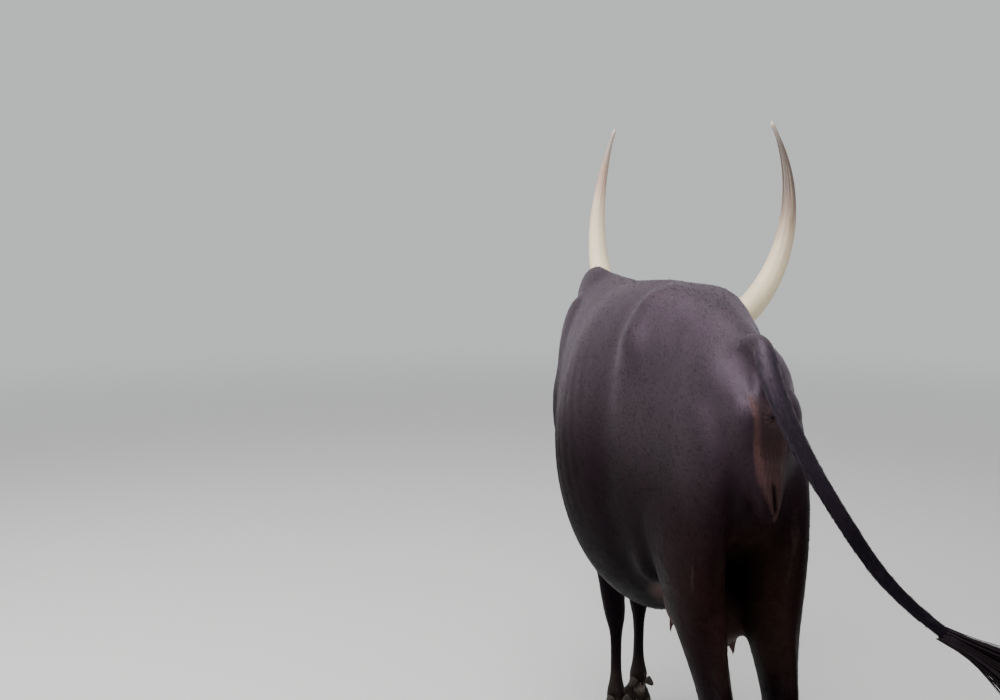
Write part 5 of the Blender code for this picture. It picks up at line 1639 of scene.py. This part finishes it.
class Graph:
    """Short calls for building a surface from nodes."""

    def __init__(self, name):
        self.made = bpy.data.materials.new(name)
        self.made.use_nodes = True
        self.nodes = self.made.node_tree.nodes
        self.links = self.made.node_tree.links
        self.shader = self.nodes["Principled BSDF"]

    def put(self, value, socket):
        """A link or a constant for a socket."""
        if isinstance(value, bpy.types.NodeSocket):
            self.links.new(value, socket)
        else:
            socket.default_value = value

    def attribute(self, name, output="Vector"):
        """A value stored on the mesh."""
        node = self.nodes.new("ShaderNodeAttribute")
        node.attribute_name = name
        return node.outputs[output]

    def place(self):
        """The place on the piece, in metres."""
        return self.nodes.new("ShaderNodeTexCoord").outputs["Object"]

    def stretched(self, vector, scale):
        """A vector with its parts multiplied."""
        node = self.nodes.new("ShaderNodeVectorMath")
        node.operation = "MULTIPLY"
        self.put(vector, node.inputs[0])
        node.inputs[1].default_value = scale
        return node.outputs["Vector"]

    def length(self, vector):
        """The length of a vector."""
        node = self.nodes.new("ShaderNodeVectorMath")
        node.operation = "LENGTH"
        self.put(vector, node.inputs[0])
        return node.outputs["Value"]

    def parts(self, vector):
        """The three parts of a vector."""
        node = self.nodes.new("ShaderNodeSeparateXYZ")
        self.put(vector, node.inputs[0])
        return node.outputs

    def noise(self, vector, scale, detail=3.0, roughness=0.55, distortion=0.0):
        """Uneven values from 0 to 1."""
        node = self.nodes.new("ShaderNodeTexNoise")
        self.put(vector, node.inputs["Vector"])
        node.inputs["Scale"].default_value = scale
        node.inputs["Detail"].default_value = detail
        node.inputs["Roughness"].default_value = roughness
        node.inputs["Distortion"].default_value = distortion
        return node.outputs["Fac"]

    def grain(self, vector, scale, *shape):
        """Uneven values from 0 to 1, drawn out along the directions of the smaller scales."""
        return self.noise(self.stretched(vector, scale), 1.0, *shape)

    def cells(self, vector, scale):
        """Distances inside a net of uneven cells."""
        node = self.nodes.new("ShaderNodeTexVoronoi")
        node.feature = "DISTANCE_TO_EDGE"
        self.put(vector, node.inputs["Vector"])
        node.inputs["Scale"].default_value = scale
        return node.outputs["Distance"]

    def maths(self, operation, first, second=0.0, third=0.0):
        """One step of arithmetic."""
        node = self.nodes.new("ShaderNodeMath")
        node.operation = operation
        for socket, value in zip(node.inputs, (first, second, third)):
            self.put(value, socket)
        return node.outputs[0]

    def span(self, value, low, high, to_low=0.0, to_high=1.0):
        """A value carried from one range to another, with smooth ends."""
        node = self.nodes.new("ShaderNodeMapRange")
        node.interpolation_type = "SMOOTHSTEP"
        self.put(value, node.inputs["Value"])
        for name, number in (("From Min", low), ("From Max", high), ("To Min", to_low), ("To Max", to_high)):
            self.put(number, node.inputs[name])
        return node.outputs["Result"]

    def mix(self, share, first, second, way="MIX"):
        """Two colours laid over each other."""
        node = self.nodes.new("ShaderNodeMix")
        node.data_type = "RGBA"
        node.blend_type = way
        self.put(share, node.inputs["Factor"])
        for value, socket in ((first, node.inputs[6]), (second, node.inputs[7])):
            self.put((*value, 1.0) if isinstance(value, tuple) and len(value) == 3 else value, socket)
        return node.outputs[2]

    def toned(self, colour, tone):
        """A colour multiplied by a value."""
        node = self.nodes.new("ShaderNodeCombineColor")
        for socket in node.inputs[:3]:
            self.put(tone, socket)
        return self.mix(1.0, colour, node.outputs[0], "MULTIPLY")

    def ramp(self, value, stops):
        """A colour picked along a row of stops."""
        node = self.nodes.new("ShaderNodeValToRGB")
        self.put(value, node.inputs["Fac"])
        band = node.color_ramp
        for index, (place, colour) in enumerate(stops):
            if index < 2:
                element = band.elements[index]
                element.position = place
            else:
                element = band.elements.new(place)
            element.color = (*colour, 1.0)
        return node.outputs["Color"]

    def bump(self, height, depth, normal=None):
        """Small relief on the surface."""
        node = self.nodes.new("ShaderNodeBump")
        node.inputs["Strength"].default_value = 1.0
        node.inputs["Distance"].default_value = depth
        self.put(height, node.inputs["Height"])
        if normal is not None:
            self.links.new(normal, node.inputs["Normal"])
        return node.outputs["Normal"]

    def high(self):
        """0 on the lower body and 1 on the back."""
        return self.span(self.parts(self.place())[2], *GLEAM_HEIGHTS)

    def gleam(self, share):
        """A coat that shines on the back and is dull low on the body."""
        self.put(self.span(share, 0.0, 1.0, 0.014, 0.36), self.shader.inputs["Specular IOR Level"])
        self.put(self.span(share, 0.0, 1.0, 0.0, 0.09), self.shader.inputs["Sheen Weight"])

    def finish(self, colour, roughness, normal=None, **sockets):
        """Join the parts to the shader."""
        self.put(colour, self.shader.inputs["Base Color"])
        self.put(roughness, self.shader.inputs["Roughness"])
        if normal is not None:
            self.links.new(normal, self.shader.inputs["Normal"])
        for name, value in sockets.items():
            self.shader.inputs[name.replace("_", " ")].default_value = value
        return self.made


def hide_material():
    """The skin under the short, sleek coat: fine hair lying along it, bare folds and a leathery muzzle."""
    graph = Graph("hide")
    place = graph.place()
    bare, leg, head = graph.parts(graph.attribute("coat_kind"))
    trunk_hair = graph.grain(place, (620.0, 70.0, 460.0), 2.0, 0.6, 0.4)
    leg_hair = graph.grain(place, (620.0, 620.0, 80.0), 2.0, 0.6, 0.4)
    hair = graph.mix(leg, trunk_hair, leg_hair)
    swirls = graph.grain(place, (26.0, 11.0, 20.0), 4.0, 0.6, 0.8)
    pores = graph.cells(place, 520.0)
    creases = graph.grain(place, (300.0, 300.0, 120.0), 3.0, 0.6, 0.9)
    lock = graph.span(hair, 0.30, 0.72, 0.72, 1.34)
    patch = graph.span(swirls, 0.30, 0.72, 0.86, 1.18)
    colour = graph.toned(graph.attribute("coat_colour", "Color"), graph.maths("MULTIPLY", lock, patch))
    rough = graph.span(swirls, 0.25, 0.75, 0.42, 0.54)
    rough = graph.maths("ADD", rough, graph.span(hair, 0.3, 0.7, -0.05, 0.07))
    rough = graph.maths("SUBTRACT", rough, graph.maths("MULTIPLY", bare, 0.08))
    furry = graph.maths("SUBTRACT", 1.0, bare)
    relief = graph.maths("MULTIPLY", hair, furry)
    gloss = graph.maths("MAXIMUM", graph.high(), graph.maths("MULTIPLY", head, 0.75))
    gloss = graph.maths("MAXIMUM", gloss, graph.maths("MULTIPLY", leg, 0.15))
    skin_relief = graph.maths("MULTIPLY", graph.maths("ADD", graph.span(pores, 0.0, 0.25), creases), bare)
    height = graph.maths("MULTIPLY_ADD", skin_relief, 1.3, relief)
    normal = graph.bump(height, 0.0005)
    normal = graph.bump(swirls, 0.0022, normal)
    graph.gleam(gloss)
    return graph.finish(colour, rough, normal, Sheen_Roughness=0.35, Sheen_Tint=GLEAM, Specular_Tint=GLEAM)


def coat_material(name, roughness, even=None):
    """Hair in the colour stored on it, painted light and shade included, a little darker and lighter along
    it, with an even gleam or one by height.
    """
    graph = Graph(name)
    fine = graph.noise(graph.place(), 340.0, 2.0)
    colour = graph.toned(graph.attribute("coat_colour", "Color"), graph.span(fine, 0.3, 0.7, 0.82, 1.2))
    rough = graph.span(fine, 0.3, 0.7, roughness - 0.05, roughness + 0.06)
    if even is not None:
        return graph.finish(colour, rough, None, Specular_IOR_Level=even, Specular_Tint=GLEAM)
    graph.gleam(graph.high())
    return graph.finish(colour, rough, None, Sheen_Roughness=0.35, Sheen_Tint=GLEAM, Specular_Tint=GLEAM)


HORN_LOW = ((0.00, (0.20, 0.145, 0.10)), (1.00, (0.60, 0.54, 0.47)), (0.035, (0.44, 0.35, 0.235)),
            (0.10, (0.66, 0.55, 0.36)), (0.36, (0.80, 0.67, 0.45)))
HORN_PALE = ((0.55, (0.76, 0.63, 0.43)), (0.68, (0.66, 0.52, 0.38)), (0.75, (0.50, 0.335, 0.26)),
             (0.82, (0.40, 0.265, 0.21)), (0.90, (0.38, 0.30, 0.25)), (0.965, (0.42, 0.36, 0.31)))
# The right horn's own darker brown band and tip, with painted shade darkening its cream below the band
HORN_DEEP_SHADED = ((0.48, (0.66, 0.54, 0.38)), (0.56, (0.44, 0.33, 0.235)), (0.63, (0.22, 0.15, 0.115)),
             (0.72, (0.105, 0.072, 0.058)), (0.84, (0.066, 0.048, 0.041)), (0.92, (0.080, 0.065, 0.056)),
             (0.975, (0.28, 0.25, 0.22)))


def horn_material(name, upper):
    """Cream horn with long faint streaks, a brown upper part, a pale tip and a dull base."""
    graph = Graph(name)
    grain = graph.attribute("grain")
    along = graph.parts(grain)[2]
    streak = graph.grain(grain, (4.5, 4.5, 2.2), 4.0, 0.62, 0.3)
    fibres = graph.grain(grain, (26.0, 26.0, 4.0), 3.0, 0.6)
    blotch = graph.grain(grain, (2.4, 2.4, 12.0), 5.0, 0.62, 0.6)
    uneven = graph.maths("MULTIPLY_ADD", streak, 0.30, graph.maths("MULTIPLY_ADD", blotch, 0.12, -0.21))
    reach = graph.maths("MULTIPLY", uneven, graph.span(along, 0.90, 1.0, 1.0, 0.15))
    colour = graph.ramp(graph.maths("ADD", along, reach), HORN_LOW + upper)
    colour = graph.toned(colour, graph.span(fibres, 0.25, 0.75, 0.88, 1.06))
    flush = graph.span(streak, 0.50, 0.68, 0.0, 0.40)
    colour = graph.mix(flush, colour, (0.56, 0.41, 0.30))
    spots = graph.grain(grain, (6.0, 6.0, 44.0), 2.0, 0.5)
    colour = graph.mix(graph.span(spots, 0.66, 0.74, 0.0, 0.45), colour, (0.30, 0.21, 0.14))
    rough = graph.span(fibres, 0.3, 0.7, 0.36, 0.54)
    thick = graph.span(along, 0.70, 0.95, 1.0, 0.08)
    normal = graph.bump(graph.maths("MULTIPLY", fibres, thick), 0.0006)
    normal = graph.bump(graph.maths("MULTIPLY", blotch, thick), 0.0010, normal)
    return graph.finish(colour, rough, normal, Subsurface_Weight=0.05, Coat_Weight=0.10, Coat_Roughness=0.32)


def hoof_material():
    """Dark horn of the hooves, with growth rings, fine upright fibres and dusty edges."""
    graph = Graph("hoof")
    grain = graph.attribute("grain")
    level = graph.parts(grain)[2]
    bands = graph.grain(grain, (0.7, 0.7, 13.0), 3.0, 0.6, 0.3)
    fibres = graph.grain(grain, (30.0, 30.0, 3.0), 3.0, 0.6)
    dirt = graph.noise(graph.place(), 55.0, 5.0, 0.65)
    colour = graph.mix(graph.span(bands, 0.35, 0.68), (0.011, 0.0085, 0.0080), (0.034, 0.026, 0.022))
    colour = graph.mix(graph.span(fibres, 0.45, 0.8, 0.0, 0.35), colour, (0.085, 0.066, 0.052))
    low = graph.span(level, 0.0, 0.35, 0.75, 0.10)
    dusty = graph.maths("MULTIPLY", graph.span(dirt, 0.42, 0.68), low)
    colour = graph.mix(dusty, colour, (0.095, 0.074, 0.056))
    rough = graph.span(dirt, 0.3, 0.7, 0.38, 0.66)
    normal = graph.bump(bands, 0.0009)
    normal = graph.bump(fibres, 0.0004, normal)
    return graph.finish(colour, rough, normal, Specular_IOR_Level=0.16)


def eye_material():
    """A dark brown iris round a long level pupil, under a wet surface."""
    graph = Graph("eye")
    gaze = graph.attribute("gaze")
    out = graph.parts(gaze)[2]
    flat = graph.length(graph.stretched(gaze, (1.0, 1.0, 0.0)))
    pupil = graph.length(graph.stretched(gaze, (1.0 / 0.40, 1.0 / 0.20, 0.0)))
    rays = graph.grain(gaze, (22.0, 22.0, 3.0), 4.0, 0.6, 0.8)
    iris = graph.mix(graph.span(rays, 0.3, 0.7), (0.018, 0.0075, 0.0040), (0.060, 0.026, 0.011))
    iris = graph.mix(graph.span(flat, 0.46, 0.62), iris, (0.010, 0.006, 0.005))
    white = graph.mix(graph.span(rays, 0.3, 0.7), (0.030, 0.021, 0.018), (0.060, 0.043, 0.036))
    colour = graph.mix(graph.span(flat, 0.64, 0.72), iris, white)
    colour = graph.mix(graph.span(pupil, 0.90, 1.08), (0.0015, 0.0015, 0.0025), colour)
    back = graph.span(out, -0.2, 0.1)
    colour = graph.mix(back, (0.10, 0.05, 0.04), colour)
    rough = graph.span(rays, 0.3, 0.7, 0.10, 0.16)
    return graph.finish(colour, rough, None, Coat_Weight=0.20, Coat_Roughness=0.04, Specular_IOR_Level=0.30)


# The stage
CAMERA_PLACE = Vector((0.681, 2.470, 1.483))
CAMERA_YAW = math.radians(-6.49)
CAMERA_PITCH = math.radians(6.74)
FOCAL_PIXELS = 1047.0
IMAGE_WIDTH = 1000.0
SKY = (0.80, 0.815, 0.82, 1.0)
SKY_POWER = 0.80


def make_camera():
    """The photograph's own view."""
    data = bpy.data.cameras.new("view")
    data.sensor_width = 36.0
    data.lens = FOCAL_PIXELS / IMAGE_WIDTH * data.sensor_width
    item = linked("view", data)
    level = math.cos(CAMERA_PITCH)
    ahead = Vector((math.sin(CAMERA_YAW) * level, -math.cos(CAMERA_YAW) * level, -math.sin(CAMERA_PITCH)))
    right = ahead.cross(UP).normalized()
    up = right.cross(ahead)
    turn = Matrix((right, up, -ahead)).transposed().to_4x4()
    item.matrix_world = Matrix.Translation(CAMERA_PLACE + SHIFT) @ turn
    bpy.context.scene.camera = item


def area_light(name, place, aim, size, power, colour=(1.0, 1.0, 1.0)):
    """A soft square lamp."""
    data = bpy.data.lights.new(name, "AREA")
    data.shape = "SQUARE"
    data.size = size
    data.energy = power
    data.color = colour
    item = linked(name, data)
    item.location = place
    item.rotation_euler = (Vector(aim) - Vector(place)).to_track_quat("-Z", "Y").to_euler()


def floor_material():
    """A pale plain floor that passes into the sky's own brightness far from the model."""
    graph = Graph("floor")
    graph.finish((0.56, 0.56, 0.55, 1.0), 0.9)
    distance = graph.length(graph.stretched(graph.place(), (1.0, 1.0, 0.0)))
    far = graph.span(distance, 3.0, 11.0)
    glow = graph.nodes.new("ShaderNodeEmission")
    glow.inputs["Color"].default_value = SKY
    glow.inputs["Strength"].default_value = SKY_POWER
    both = graph.nodes.new("ShaderNodeMixShader")
    graph.put(far, both.inputs["Fac"])
    graph.links.new(graph.shader.outputs[0], both.inputs[1])
    graph.links.new(glow.outputs[0], both.inputs[2])
    graph.links.new(both.outputs[0], graph.nodes["Material Output"].inputs["Surface"])
    return graph.made


def make_stage():
    """A pale floor, a pale sky and soft lamps."""
    bm = bmesh.new()
    bmesh.ops.create_grid(bm, x_segments=2, y_segments=2, size=400.0)
    floor = linked("floor", mesh_of(bm, "floor"))
    floor.data.materials.append(floor_material())
    world = bpy.data.worlds.new("sky")
    bpy.context.scene.world = world
    world.use_nodes = True
    back = world.node_tree.nodes["Background"]
    back.inputs["Color"].default_value = SKY
    back.inputs["Strength"].default_value = SKY_POWER
    area_light("top", (1.4, 0.6, 4.6), (0.1, 0.0, 0.9), 3.4, 285)
    area_light("left", (4.4, 0.4, 3.2), (0.1, 0.0, 1.0), 3.0, 140)
    area_light("back", (-1.4, 4.8, 2.4), (0.1, 0.3, 0.8), 3.0, 25)


FLESH = ("torso", "neck", "head", "udder", "leg_front_left", "leg_front_right", "leg_hind_left",
         "leg_hind_right", "ear_left", "ear_right", "tail")


def make_model():
    """Every piece of the cow."""
    skin = make_skin()
    paint_skin(skin.data)
    hair = coat_material("hair", 0.42)
    make_coat(skin, coat_material("coat", 0.48), coat_material("coat_head", 0.48, 0.24))
    finish(skin, hide_material())
    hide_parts(*FLESH)
    make_switch(hair)
    make_lashes(hair)
    # The right horn's stops carry painted shade below its band
    horns = {"left": horn_material("horn_pale", HORN_PALE), "right": horn_material("horn_deep_shaded", HORN_DEEP_SHADED)}
    hoof = hoof_material()
    eye = eye_material()
    for side, word in ((1, "left"), (-1, "right")):
        make_horn(word, side, horns[word])
        make_eye(word, side, eye)
    for label, side, foot in foot_places():
        for claw_side, edge in ((1, "outer"), (-1, "inner")):
            make_claw(label + "_" + edge, foot, side, claw_side, hoof)
            make_dewclaw(label + "_" + edge, foot, side * claw_side, hoof)


make_camera()
make_stage()
make_model()
